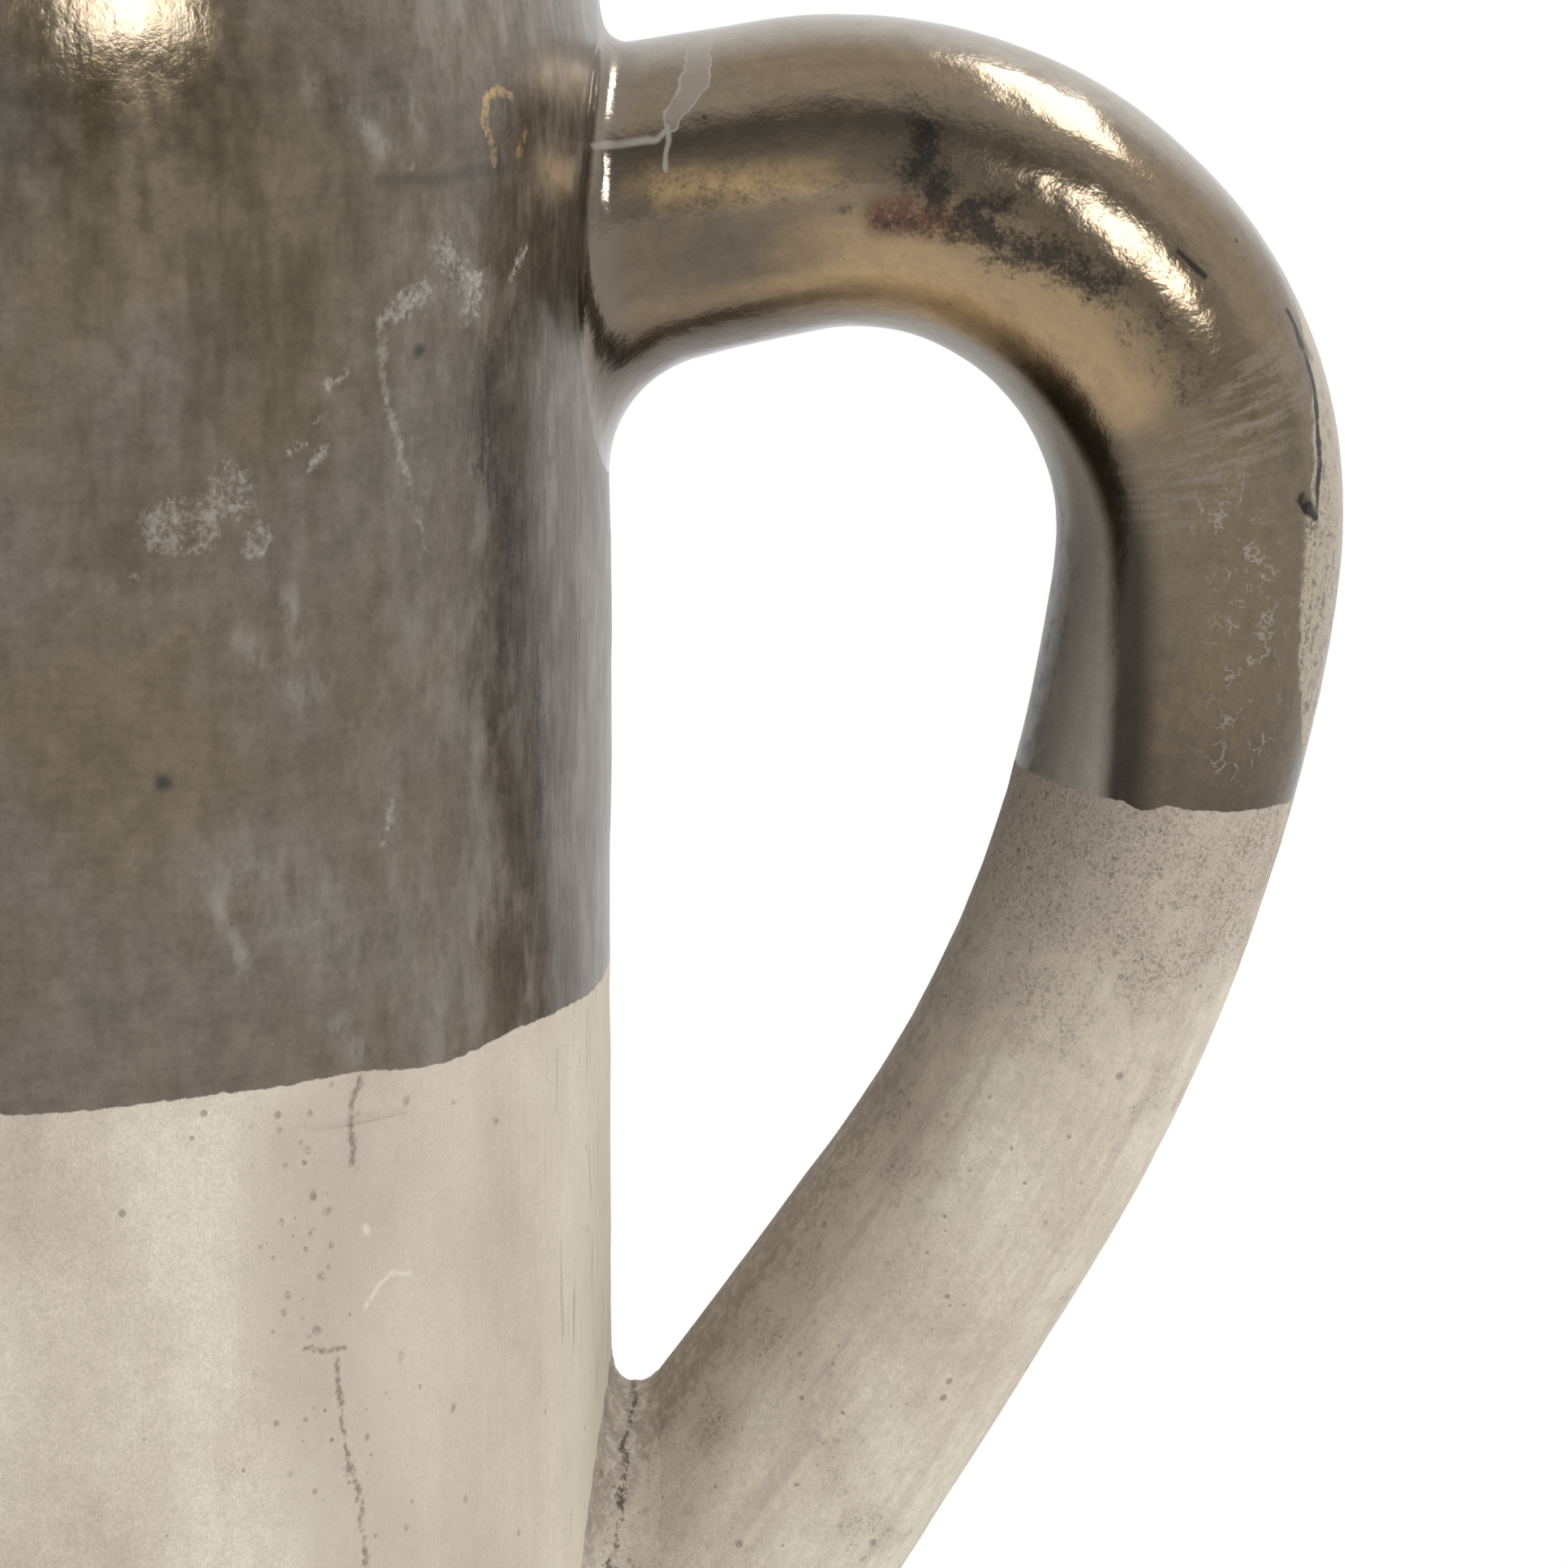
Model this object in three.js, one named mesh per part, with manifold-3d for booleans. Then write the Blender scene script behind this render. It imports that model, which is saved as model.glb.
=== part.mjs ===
// A stoneware jug: a straight wall on a flat base, a rounded shoulder, a short flared neck with a
// pulled pouring lip, and a thick round ear handle luted to the wall. The upper half and the inside
// are glazed, and the lower half is bare clay.
//
// Millimetres, +Z up. The origin is the centre of the foot. The handle is on +X, the lip on -X.

import * as THREE from "three";
import { mergeVertices } from "three/addons/utils/BufferGeometryUtils.js";
import Module from "manifold-3d";

const wasm = await Module();
wasm.setup();

const { clamp, degToRad, lerp, smoothstep } = THREE.MathUtils;

// Clay body
const BODY_RADIUS = 72;
const WALL = 6;
const FLOOR = 9;
const HEEL_RADIUS = 4;
const FLOOR_COVE = 9; // radius of the coil that rounds the inside corner of the floor
const SHOULDER_Z = 233; // where the straight wall ends
const SHOULDER_RADIUS = 77;
const SHOULDER_TURN = degToRad(42); // how far the shoulder leans in before the neck
const NECK_HOLLOW = 20; // radius of the hollow curve of the neck
const RIM_FLARE = degToRad(20); // how far the neck leans out again below the rim

// Pouring lip
const LIP_REACH = 11;
const LIP_RISE = 2;
const LIP_SPREAD = degToRad(27);

// Handle: a short rise from the wall, a tight arch, a long bowed leg and a straight run to the wall
const HANDLE_BELOW_SHOULDER = 9.6; // centre of the upper joint
const HANDLE_RISE = degToRad(11.5);
const HANDLE_RUN = 17.9;
const ARCH_RADIUS = 36.8;
const LEG_BOW_RADIUS = 160;
const LEG_SLANT = degToRad(33.6); // of the straight run, from upright
const LOWER_JOINT_Z = 62.1; // centre of the lower joint
const HANDLE_ROOT_RADIUS = 16.7;
const HANDLE_WAIST_RADIUS = 14.5;
const HANDLE_FOOT_RADIUS = 18.6;
const HANDLE_WAIST_AT = 115; // along the handle from the upper joint
const ROOT_TAPER = 1.2; // power of the swelling towards the upper joint
const FOOT_TAPER = 2; // power of the swelling towards the lower joint

// Clay worked round the handle's joints
const UPPER_FILLET_ABOVE = 3.2;
const UPPER_FILLET_BELOW = 10;
const LOWER_FILLET_INSIDE = 2.6;
const LOWER_FILLET_OUTSIDE = 7;
const FLARE_HEIGHT = 0.6; // rise of the worked clay, to its fillet
const FLARE_REACH = 0.9; // spread of the worked clay along the handle, to its fillet

// Glaze
const COAT = 0.6;
const GLAZE_LINE_Z = 144.3; // edge of the glaze on the wall
const GLAZE_WAVE = 0.9;
const GLAZE_WAVES = 8; // round the wall
const HANDLE_GLAZE_Z = 162; // edge of the glaze on the handle's leg
const HANDLE_GLAZE_SLOPE = degToRad(8);

const CLEARANCE = 0.3; // between pieces that are luted or fired together

// Facets
const TURNS = 48; // round the body
const SHOULDER_STEPS = 5;
const ARC_STEPS = 4;
const HANDLE_SIDES = 20;
const HANDLE_STEP = 8;
const FLARE_STEPS = 5;

const CLAY = { color: 0xc6baa9, roughness: 0.9, metalness: 0 };
const LUSTRE = { color: 0x6f6353, roughness: 0.35, metalness: 0.9 };
const LINER = { color: 0x3d352c, roughness: 0.25, metalness: 0.1 };

function polar(centre, radius, angle) {
  const [across, up] = [radius * Math.cos(angle), radius * Math.sin(angle)];
  return new THREE.Vector2(centre.x + across, centre.y + up);
}

// Even steps from one value up to, but not including, another
function steps(from, to, count) {
  return Array.from({ length: count }, (_, i) => lerp(from, to, i / count));
}

function arc(centre, radius, from, to, count = ARC_STEPS) {
  return [...steps(from, to, count), to].map((angle) => polar(centre, radius, angle));
}

const shoulderCentre = new THREE.Vector2(BODY_RADIUS - SHOULDER_RADIUS, SHOULDER_Z);
const neckCentre = polar(shoulderCentre, SHOULDER_RADIUS + NECK_HOLLOW, SHOULDER_TURN);
const rimCentre = polar(neckCentre, NECK_HOLLOW + WALL / 2, Math.PI - RIM_FLARE);
const rimTop = rimCentre.y + WALL / 2;
const neckFoot = polar(shoulderCentre, SHOULDER_RADIUS, SHOULDER_TURN).y;

// Stretches of the jug's outline, moved outwards by an offset. A negative offset of the outside gives
// the inside.
function shoulderCurve(offset) {
  return arc(shoulderCentre, SHOULDER_RADIUS + offset, 0, SHOULDER_TURN, SHOULDER_STEPS);
}

function neckCurve(offset) {
  const foot = Math.PI + SHOULDER_TURN - CLEARANCE / NECK_HOLLOW;
  return arc(neckCentre, NECK_HOLLOW - offset, foot, Math.PI - RIM_FLARE);
}

function rimCurve(offset) {
  return arc(rimCentre, WALL / 2 + offset, -RIM_FLARE, Math.PI - RIM_FLARE);
}

function coveCurve(offset) {
  const centre = new THREE.Vector2(BODY_RADIUS - WALL - FLOOR_COVE, FLOOR + FLOOR_COVE);
  return arc(centre, FLOOR_COVE - offset, -Math.PI / 2, 0);
}

// Radius of the outside of the wall at a height, up to the top of the shoulder
function wallRadiusAt(z) {
  const up = clamp(z - SHOULDER_Z, 0, neckFoot - SHOULDER_Z);
  return shoulderCentre.x + Math.sqrt(SHOULDER_RADIUS ** 2 - up ** 2);
}

// Turns an outline of radius and height round the Z axis. The outline runs up its outside.
function turned(outline) {
  const points = outline.filter((p, i) => i === 0 || !p.equals(outline[i - 1]));
  return new THREE.LatheGeometry(points, TURNS).rotateX(Math.PI / 2);
}

function turnedRing(outline) {
  return turned([...outline, outline[0]]);
}

function moved(geometry, change) {
  const position = geometry.getAttribute("position");
  const point = new THREE.Vector3();
  for (let i = 0; i < position.count; i++) {
    change(point.fromBufferAttribute(position, i));
    position.setXYZ(i, point.x, point.y, point.z);
  }
  return geometry;
}

// Draws the rim out into a pouring lip on the side away from the handle.
function pullLip(point) {
  const aside = Math.atan2(point.y, -point.x) / LIP_SPREAD;
  const pull = smoothstep(point.z, neckFoot, rimTop) * Math.exp(-(aside ** 2));
  const radius = Math.hypot(point.x, point.y);
  const stretch = radius > 0 ? 1 + (LIP_REACH * pull) / radius : 1;
  point.set(point.x * stretch, point.y * stretch, point.z + LIP_RISE * pull);
}

// Height of the glaze's wavy edge round the wall. Angle 0 is under the handle.
function glazeLine(angle) {
  return GLAZE_LINE_Z - GLAZE_WAVE * Math.sin(GLAZE_WAVES * angle);
}

function toSolid(geometry) {
  const bare = geometry.clone();
  bare.deleteAttribute("normal");
  bare.deleteAttribute("uv");
  const merged = mergeVertices(bare, 1e-4);
  const vertProperties = new Float32Array(merged.getAttribute("position").array);
  const triVerts = new Uint32Array(merged.index.array);
  return new wasm.Manifold(new wasm.Mesh({ numProp: 3, vertProperties, triVerts }));
}

function toGeometry(solid) {
  const mesh = solid.getMesh();
  return new THREE.BufferGeometry()
    .setAttribute("position", new THREE.BufferAttribute(mesh.vertProperties, 3))
    .setIndex(new THREE.BufferAttribute(mesh.triVerts, 1));
}

// A skin through rings of points, each ring as long as the next, with closed ends
function loft(rings) {
  const sides = rings[0].length;
  const faces = [];
  for (let i = 0; i + 1 < rings.length; i++) {
    for (let j = 0; j < sides; j++) {
      const a = i * sides + j;
      const b = i * sides + ((j + 1) % sides);
      faces.push(a, b, b + sides, a, b + sides, a + sides);
    }
  }
  const last = (rings.length - 1) * sides;
  for (let j = 1; j + 1 < sides; j++) {
    faces.push(0, j + 1, j);
    faces.push(last, last + j, last + j + 1);
  }
  return new THREE.BufferGeometry().setFromPoints(rings.flat()).setIndex(faces);
}

// Stretches of the handle's line in the XZ plane. Each knows its length and the point and heading at
// a distance along it. Bends turn clockwise.
function straight(start, heading, length) {
  return { length, at: (s) => ({ point: polar(start, s, heading), heading }) };
}

function bend(start, heading, radius, turn) {
  const centre = polar(start, radius, heading - Math.PI / 2);
  const at = (s) => ({
    point: polar(centre, radius, heading + Math.PI / 2 - s / radius),
    heading: heading - s / radius,
  });
  return { length: radius * turn, at };
}

// The bow of the leg touches both the arch and the straight run that ends at the lower joint.
function handleLine() {
  const root = new THREE.Vector2(BODY_RADIUS, SHOULDER_Z - HANDLE_BELOW_SHOULDER);
  const rise = straight(root, HANDLE_RISE, HANDLE_RUN);
  const archStart = rise.at(HANDLE_RUN).point;
  const archCentre = polar(archStart, ARCH_RADIUS, HANDLE_RISE - Math.PI / 2);

  const runHeading = -Math.PI / 2 - LEG_SLANT;
  const lowerJoint = new THREE.Vector2(BODY_RADIUS, LOWER_JOINT_Z);
  const inward = polar({ x: 0, y: 0 }, 1, runHeading - Math.PI / 2);
  const archFromRun = archCentre.clone().sub(lowerJoint).dot(inward);
  const bowFromArch = LEG_BOW_RADIUS - ARCH_RADIUS;
  const bowTurn = Math.acos(clamp((LEG_BOW_RADIUS - archFromRun) / bowFromArch, -1, 1));

  const archTurn = HANDLE_RISE - runHeading - bowTurn;
  const arch = bend(archStart, HANDLE_RISE, ARCH_RADIUS, archTurn);
  const legStart = arch.at(arch.length).point;
  const leg = bend(legStart, HANDLE_RISE - archTurn, LEG_BOW_RADIUS, bowTurn);
  const runStart = leg.at(leg.length).point;
  const runLength = (BODY_RADIUS - runStart.x) / Math.cos(runHeading);
  const run = straight(runStart, runHeading, runLength);

  const before = [rise, arch, leg];
  const at = (s) => {
    let rest = s;
    for (const stretch of before) {
      if (rest < stretch.length) return stretch.at(rest);
      rest -= stretch.length;
    }
    return run.at(rest);
  };
  return { at, length: rise.length + arch.length + leg.length + runLength };
}

const line = handleLine();

// How far the line has to run on past the wall's face for a slanted end to lie wholly inside it
function depthInWall(heading, radius) {
  return radius * Math.abs(Math.tan(heading)) + WALL;
}

const rootDepth = depthInWall(HANDLE_RISE, HANDLE_ROOT_RADIUS + UPPER_FILLET_BELOW);
const footDepth = depthInWall(Math.PI / 2 - LEG_SLANT, HANDLE_FOOT_RADIUS + LOWER_FILLET_OUTSIDE);

function handleRadius(s) {
  const along = clamp(s, 0, line.length) - HANDLE_WAIST_AT;
  const toRoot = (Math.max(-along, 0) / HANDLE_WAIST_AT) ** ROOT_TAPER;
  const toFoot = (Math.max(along, 0) / (line.length - HANDLE_WAIST_AT)) ** FOOT_TAPER;
  const rootSwell = (HANDLE_ROOT_RADIUS - HANDLE_WAIST_RADIUS) * toRoot;
  return HANDLE_WAIST_RADIUS + rootSwell + (HANDLE_FOOT_RADIUS - HANDLE_WAIST_RADIUS) * toFoot;
}

// A point of the handle's skin at a distance along its line and an angle round it, moved outwards.
// Angle 0 is the outer side of the loop.
function skinPoint(s, angle, out) {
  const { point, heading } = line.at(s);
  const side = new THREE.Vector3(-Math.sin(heading), 0, Math.cos(heading));
  side.multiplyScalar(Math.cos(angle)).setY(-Math.sin(angle));
  return new THREE.Vector3(point.x, 0, point.y).addScaledVector(side, handleRadius(s) + out);
}

const upperJoint = {
  fillet: { outside: UPPER_FILLET_ABOVE, inside: UPPER_FILLET_BELOW },
  inWall: -rootDepth,
  clear: HANDLE_RUN + ARCH_RADIUS,
};
const lowerJoint = {
  fillet: { outside: LOWER_FILLET_OUTSIDE, inside: LOWER_FILLET_INSIDE },
  inWall: line.length + footDepth,
  clear: line.length - footDepth,
};

// Where along the line the skin stands off the wall by a distance
function standOff(joint, angle, distance) {
  let { inWall, clear } = joint;
  for (let i = 0; i < 40; i++) {
    const middle = (inWall + clear) / 2;
    const { x, y, z } = skinPoint(middle, angle, 0);
    if (Math.hypot(x, y) - wallRadiusAt(z) < distance) inWall = middle;
    else clear = middle;
  }
  return clear;
}

// Rings of the handle's skin between the inside of the wall and where a joint's clay runs out, in
// order along the line. The worked clay thickens the handle towards the wall as a parabola, and the
// offset is square to it.
function jointRings(joint, offset, flared) {
  const { outside, inside } = joint.fillet;
  const ringAt = (share, place) =>
    steps(0, 2 * Math.PI, HANDLE_SIDES).map((angle) => {
      const fillet = lerp(outside, inside, ((1 - Math.cos(angle)) / 2) ** 2);
      const [height, reach] = [FLARE_HEIGHT * fillet, FLARE_REACH * fillet];
      const slope = (2 * height * (1 - share)) / reach;
      const out = flared ? height * (1 - share) ** 2 + offset * Math.hypot(1, slope) : offset;
      return skinPoint(place ?? standOff(joint, angle, share * reach), angle, out);
    });
  const shares = [...steps(0, 1, FLARE_STEPS), 1];
  const rings = [ringAt(0, joint.inWall), ...shares.map((share) => ringAt(share))];
  return joint.inWall < joint.clear ? rings : rings.reverse();
}

function plainRings(offset) {
  const [from, to] = [HANDLE_RUN, line.length - footDepth];
  const along = [...steps(from, to, Math.ceil((to - from) / HANDLE_STEP)), to];
  const around = steps(0, 2 * Math.PI, HANDLE_SIDES);
  return along.map((s) => around.map((angle) => skinPoint(s, angle, offset)));
}

// The handle's whole skin, moved outwards by an offset, with or without the clay of its joints
function ear(offset, flared) {
  const upper = jointRings(upperJoint, offset, flared);
  const lower = jointRings(lowerJoint, offset, flared);
  return toSolid(loft([...upper, ...plainRings(offset), ...lower]));
}

// The jug's outside as one plug, for cutting the handle's pieces to the wall
function bodyPlug(offset) {
  return toSolid(
    turned([
      new THREE.Vector2(0, 0),
      new THREE.Vector2(BODY_RADIUS + offset, 0),
      ...shoulderCurve(offset),
      new THREE.Vector2(0, neckFoot),
    ]),
  );
}

const fittedWall = bodyPlug(CLEARANCE);

function baseDisc() {
  const heelCentre = new THREE.Vector2(BODY_RADIUS - HEEL_RADIUS, HEEL_RADIUS);
  return turned([
    new THREE.Vector2(0, 0),
    ...arc(heelCentre, HEEL_RADIUS, -Math.PI / 2, 0),
    new THREE.Vector2(BODY_RADIUS, FLOOR),
    new THREE.Vector2(0, FLOOR),
  ]);
}

function bodyWall() {
  return turnedRing([
    new THREE.Vector2(BODY_RADIUS, FLOOR),
    ...shoulderCurve(0),
    ...shoulderCurve(-WALL).reverse(),
    new THREE.Vector2(BODY_RADIUS - WALL, FLOOR),
  ]);
}

function floorCoil() {
  const back = BODY_RADIUS - WALL - CLEARANCE;
  return turnedRing([
    new THREE.Vector2(back, FLOOR),
    new THREE.Vector2(back, FLOOR + FLOOR_COVE),
    ...coveCurve(0).reverse(),
  ]);
}

function neckCollar() {
  const collar = turnedRing([...neckCurve(0), ...rimCurve(0), ...neckCurve(-WALL).reverse()]);
  return moved(collar, pullLip);
}

// The outside of the jug from a foot up over the rim and into the neck, moved outwards by an offset
function coatedPlug(offset, footAt) {
  const foot = footAt(Math.PI);
  const inside = neckCurve(-WALL - offset);
  const plug = turned([
    new THREE.Vector2(0, foot),
    new THREE.Vector2(BODY_RADIUS + offset, foot),
    ...shoulderCurve(offset),
    ...neckCurve(offset),
    ...rimCurve(offset),
    ...inside.toReversed(),
    new THREE.Vector2(0, inside[0].y),
  ]);
  const shaped = moved(plug, (point) => {
    const onEdge = Math.hypot(point.x, point.y) > BODY_RADIUS && point.z < (foot + SHOULDER_Z) / 2;
    if (onEdge) point.z = footAt(Math.atan2(point.y, point.x));
    pullLip(point);
  });
  return toSolid(shaped);
}

// The glaze from its uneven edge on the wall, up over the rim and down the inside of the neck
function bodyCoat() {
  const coated = coatedPlug(CLEARANCE + COAT, glazeLine);
  const bare = coatedPlug(CLEARANCE, () => FLOOR);
  const hole = ear(CLEARANCE + COAT + CLEARANCE, true);
  return toGeometry(coated.subtract(bare).subtract(hole));
}

// The glaze that seals the inside, from the foot of the neck down over the floor
function linerGlaze() {
  const side = (offset) => [
    new THREE.Vector2(0, FLOOR + offset),
    ...coveCurve(offset),
    ...shoulderCurve(-WALL - offset),
  ];
  return turned([...side(CLEARANCE), ...side(CLEARANCE + COAT).reverse()]);
}

function handle() {
  return toGeometry(ear(0, false).subtract(fittedWall));
}

function jointClay(joint) {
  const flared = toSolid(loft(jointRings(joint, 0, true)));
  return toGeometry(flared.subtract(ear(CLEARANCE, false)).subtract(fittedWall));
}

// The glaze over the upper joint and the arch, ending part way down the leg
function handleCoat() {
  const size = 4 * BODY_RADIUS;
  const below = new THREE.BoxGeometry(size, size, size)
    .translate(0, 0, -size / 2)
    .rotateY(HANDLE_GLAZE_SLOPE)
    .translate(line.at(HANDLE_WAIST_AT).point.x, 0, HANDLE_GLAZE_Z);
  const coat = ear(CLEARANCE + COAT, true).subtract(ear(CLEARANCE, true));
  return toGeometry(coat.subtract(fittedWall).subtract(toSolid(below)));
}

function piece(name, geometry, look) {
  geometry.computeVertexNormals();
  const mesh = new THREE.Mesh(geometry, new THREE.MeshStandardMaterial(look));
  mesh.name = name;
  return mesh;
}

const jug = new THREE.Group();
jug.add(
  piece("base_disc", baseDisc(), CLAY),
  piece("body_wall", bodyWall(), CLAY),
  piece("floor_coil", floorCoil(), CLAY),
  piece("neck_collar", neckCollar(), CLAY),
  piece("handle", handle(), CLAY),
  piece("upper_joint_clay", jointClay(upperJoint), CLAY),
  piece("lower_joint_clay", jointClay(lowerJoint), CLAY),
  piece("lustre_coat_body", bodyCoat(), LUSTRE),
  piece("lustre_coat_handle", handleCoat(), LUSTRE),
  piece("liner_glaze", linerGlaze(), LINER),
);

export default jug;
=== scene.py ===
from functools import reduce
from math import acos, atan2, ceil, cos, degrees, exp, hypot, log2, pi, radians, sin, sqrt

import bmesh
import bpy
from bpy.props import FloatProperty, FloatVectorProperty, PointerProperty
from bpy.types import Operator, Panel, PropertyGroup
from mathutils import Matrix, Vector


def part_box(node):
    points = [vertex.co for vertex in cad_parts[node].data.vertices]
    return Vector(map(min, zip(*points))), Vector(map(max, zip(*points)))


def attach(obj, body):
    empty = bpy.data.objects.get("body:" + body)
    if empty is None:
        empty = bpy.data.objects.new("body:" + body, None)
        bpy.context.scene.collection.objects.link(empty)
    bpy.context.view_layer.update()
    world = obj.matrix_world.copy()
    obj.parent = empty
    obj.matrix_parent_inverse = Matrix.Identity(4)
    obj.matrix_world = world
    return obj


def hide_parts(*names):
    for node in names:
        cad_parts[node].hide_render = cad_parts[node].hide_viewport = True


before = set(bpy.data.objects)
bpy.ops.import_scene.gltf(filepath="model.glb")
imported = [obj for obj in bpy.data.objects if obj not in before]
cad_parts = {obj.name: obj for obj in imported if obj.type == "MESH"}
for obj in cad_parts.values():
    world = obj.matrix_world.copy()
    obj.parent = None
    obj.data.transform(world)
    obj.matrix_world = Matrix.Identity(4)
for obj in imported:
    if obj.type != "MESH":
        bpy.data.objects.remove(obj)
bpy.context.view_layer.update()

bl_info = {
    "name": "Ceramic Jug",
    "version": (1, 0, 0),
    "blender": (4, 5, 0),
    "location": "View3D > Sidebar > Jug",
    "description": "Models a stoneware jug with a bronze lustre glaze and a pulled ear handle",
    "category": "Add Mesh",
}

MM = 0.001

# Facets before a piece is subdivided. Skins that lie hidden in the clay have longer rows.
SPIN_STEPS = 96
HANDLE_SIDES = 40
WALL_ROW = 6 * MM
HANDLE_ROW = 3.2 * MM
HIDDEN_ROWS, INSIDE_ROWS, LINER_ROWS = 5, 8, 4
FILLET_STEPS = 9
SUBDIVISIONS = 2
TURNS_ROUND = [2 * pi * i / HANDLE_SIDES for i in range(HANDLE_SIDES)]

# How deep hidden skins lie in the clay
HANDLE_SINK = 3 * MM
WALL_COAT_SINK = 0.5 * MM
HANDLE_COAT_SINK = 0.9 * MM
EDGE_SINK = 0.08 * MM

# How far off the clay the inner face of a glaze lies inside, and the lower joint's clay begins
LINING_GAP = 0.2 * MM
JOINT_LIFT = 0.1 * MM

# Height up to which the foot stays flat
STILL_FOOT = 3 * MM

# How far a coat runs on past the glaze line, thinning into the clay
WALL_EDGE_RUN = 6 * MM
HANDLE_EDGE_RUN = 9 * MM

# Halvings of a search along the handle
BISECTIONS = 36

# Unevenness worked in by hand, which pieces that lie on each other share: size, detail and height
HAND_WAVES = [
    ("broad_waves", 42, 1, 0.75),
    ("finger_marks", 13, 1, 0.22),
    ("drag_marks", 3.2, 2, 0.09),
]
CRUMBS = ("crumbs", 2, 3, 0.6)

# Lamps: direction from the point they light, distance, width and height in metres
LAMP_AIM = Vector((0.11, 0, 0.2))
LAMPS = [
    ("key", (0.55, -0.72, 0.39), 1.2, 0.38, 0.32),
    ("top", (0.5, 0.2, 0.84), 1.2, 0.7, 0.34),
    ("fill", (-0.75, -0.6, 0.35), 1.4, 0.8, 0.8),
    ("side", (0.95, -0.28, 0.2), 1.4, 0.7, 0.7),
]
FLOOR_SIZE = 12
SENSOR_WIDTH = 36


def length(name, description, millimetres):
    return FloatProperty(
        name=name, description=description, default=millimetres * MM, unit="LENGTH", precision=5
    )


def angle(name, description, turn):
    return FloatProperty(name=name, description=description, default=radians(turn), unit="ROTATION")


def amount(name, description, value):
    return FloatProperty(name=name, description=description, default=value, min=0)


def srgb(*channels):
    """Linear colour of a tint that is given as it looks, from 0 to 255."""
    shares = [c / 255 for c in channels]
    return tuple(c / 12.92 if c <= 0.04045 else ((c + 0.055) / 1.055) ** 2.4 for c in shares)


def tint(name, description, *channels):
    return FloatVectorProperty(
        name=name,
        description=description,
        default=srgb(*channels),
        size=3,
        subtype="COLOR",
        min=0,
        max=1,
    )


class JugClaySizes(PropertyGroup):
    """Sizes of the clay body"""

    body_radius: length(
        "Body radius", "Radius of the straight wall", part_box("body_wall")[1][1] / MM
    )
    wall: length("Wall", "Thickness of the wall and the rim", 6)
    floor: length("Floor", "Thickness of the base", 9)
    heel_radius: length("Heel radius", "Rounding of the foot's edge", 4)
    floor_cove: length("Floor cove", "Rounding of the inside corner of the floor", 9)
    shoulder_z: length("Shoulder height", "Height at which the straight wall ends", 233)
    shoulder_radius: length("Shoulder radius", "Radius of the shoulder's curve", 77)
    shoulder_turn: angle("Shoulder turn", "How far the shoulder leans in before the neck", 42)
    neck_hollow: length("Neck hollow", "Radius of the hollow curve of the neck", 20)
    rim_flare: angle("Rim flare", "How far the neck leans out again below the rim", 20)
    lip_reach: length("Lip reach", "How far the pouring lip is drawn out", 11)
    lip_rise: length("Lip rise", "How far the pouring lip is drawn up", 2)
    lip_spread: angle("Lip spread", "Half width of the pouring lip round the rim", 27)


class JugHandleSizes(PropertyGroup):
    """Sizes of the ear handle"""

    upper_z: length("Upper joint", "Height of the centre of the upper joint", 223.4)
    rise: angle("Rise", "Slope of the handle as it leaves the wall", 11.5)
    run: length("Run", "Straight length before the arch", 17.9)
    arch_radius: length("Arch radius", "Radius of the arch's centre line", 36.8)
    bow_radius: length("Leg bow", "Radius of the leg's bow", 160)
    leg_slant: angle("Leg slant", "Slope of the leg's straight end, from upright", 33.6)
    lower_z: length("Lower joint", "Height of the centre of the lower joint", 62.1)
    root_radius: length("Root radius", "Radius at the upper joint", 16.7)
    waist_radius: length("Waist radius", "Radius at the thinnest place", 14.5)
    foot_radius: length("Foot radius", "Radius at the lower joint", 18.6)
    waist_at: length("Waist place", "Distance of the thinnest place along the handle", 115)
    root_taper: amount("Root taper", "Power of the swelling towards the upper joint", 1.2)
    foot_taper: amount("Foot taper", "Power of the swelling towards the lower joint", 2)
    fillet_above: length("Upper fillet, above", "Fillet over the upper joint", 2.8)
    fillet_below: length("Upper fillet, below", "Fillet under the upper joint", 10)
    fillet_inside: length("Lower fillet, inside", "Fillet in the loop's lower corner", 4.5)
    fillet_outside: length("Lower fillet, outside", "Fillet under the lower joint", 7)


class JugGlazeSizes(PropertyGroup):
    """Sizes of the glaze"""

    coat: length("Coat", "How far the lustre stands over the clay of the wall and the handle", 0.12)
    neck_coat: length("Neck coat", "How far the lustre stands over the clay of the neck", 0.75)
    line_z: length("Glaze line", "Height of the lustre's edge on the wall", 144.3)
    handle_line: length(
        "Handle glaze line", "Distance of the lustre's edge along the handle", 110.7
    )
    liner: length("Liner", "How far the inside glaze stands over the clay", 0.8)


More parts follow.
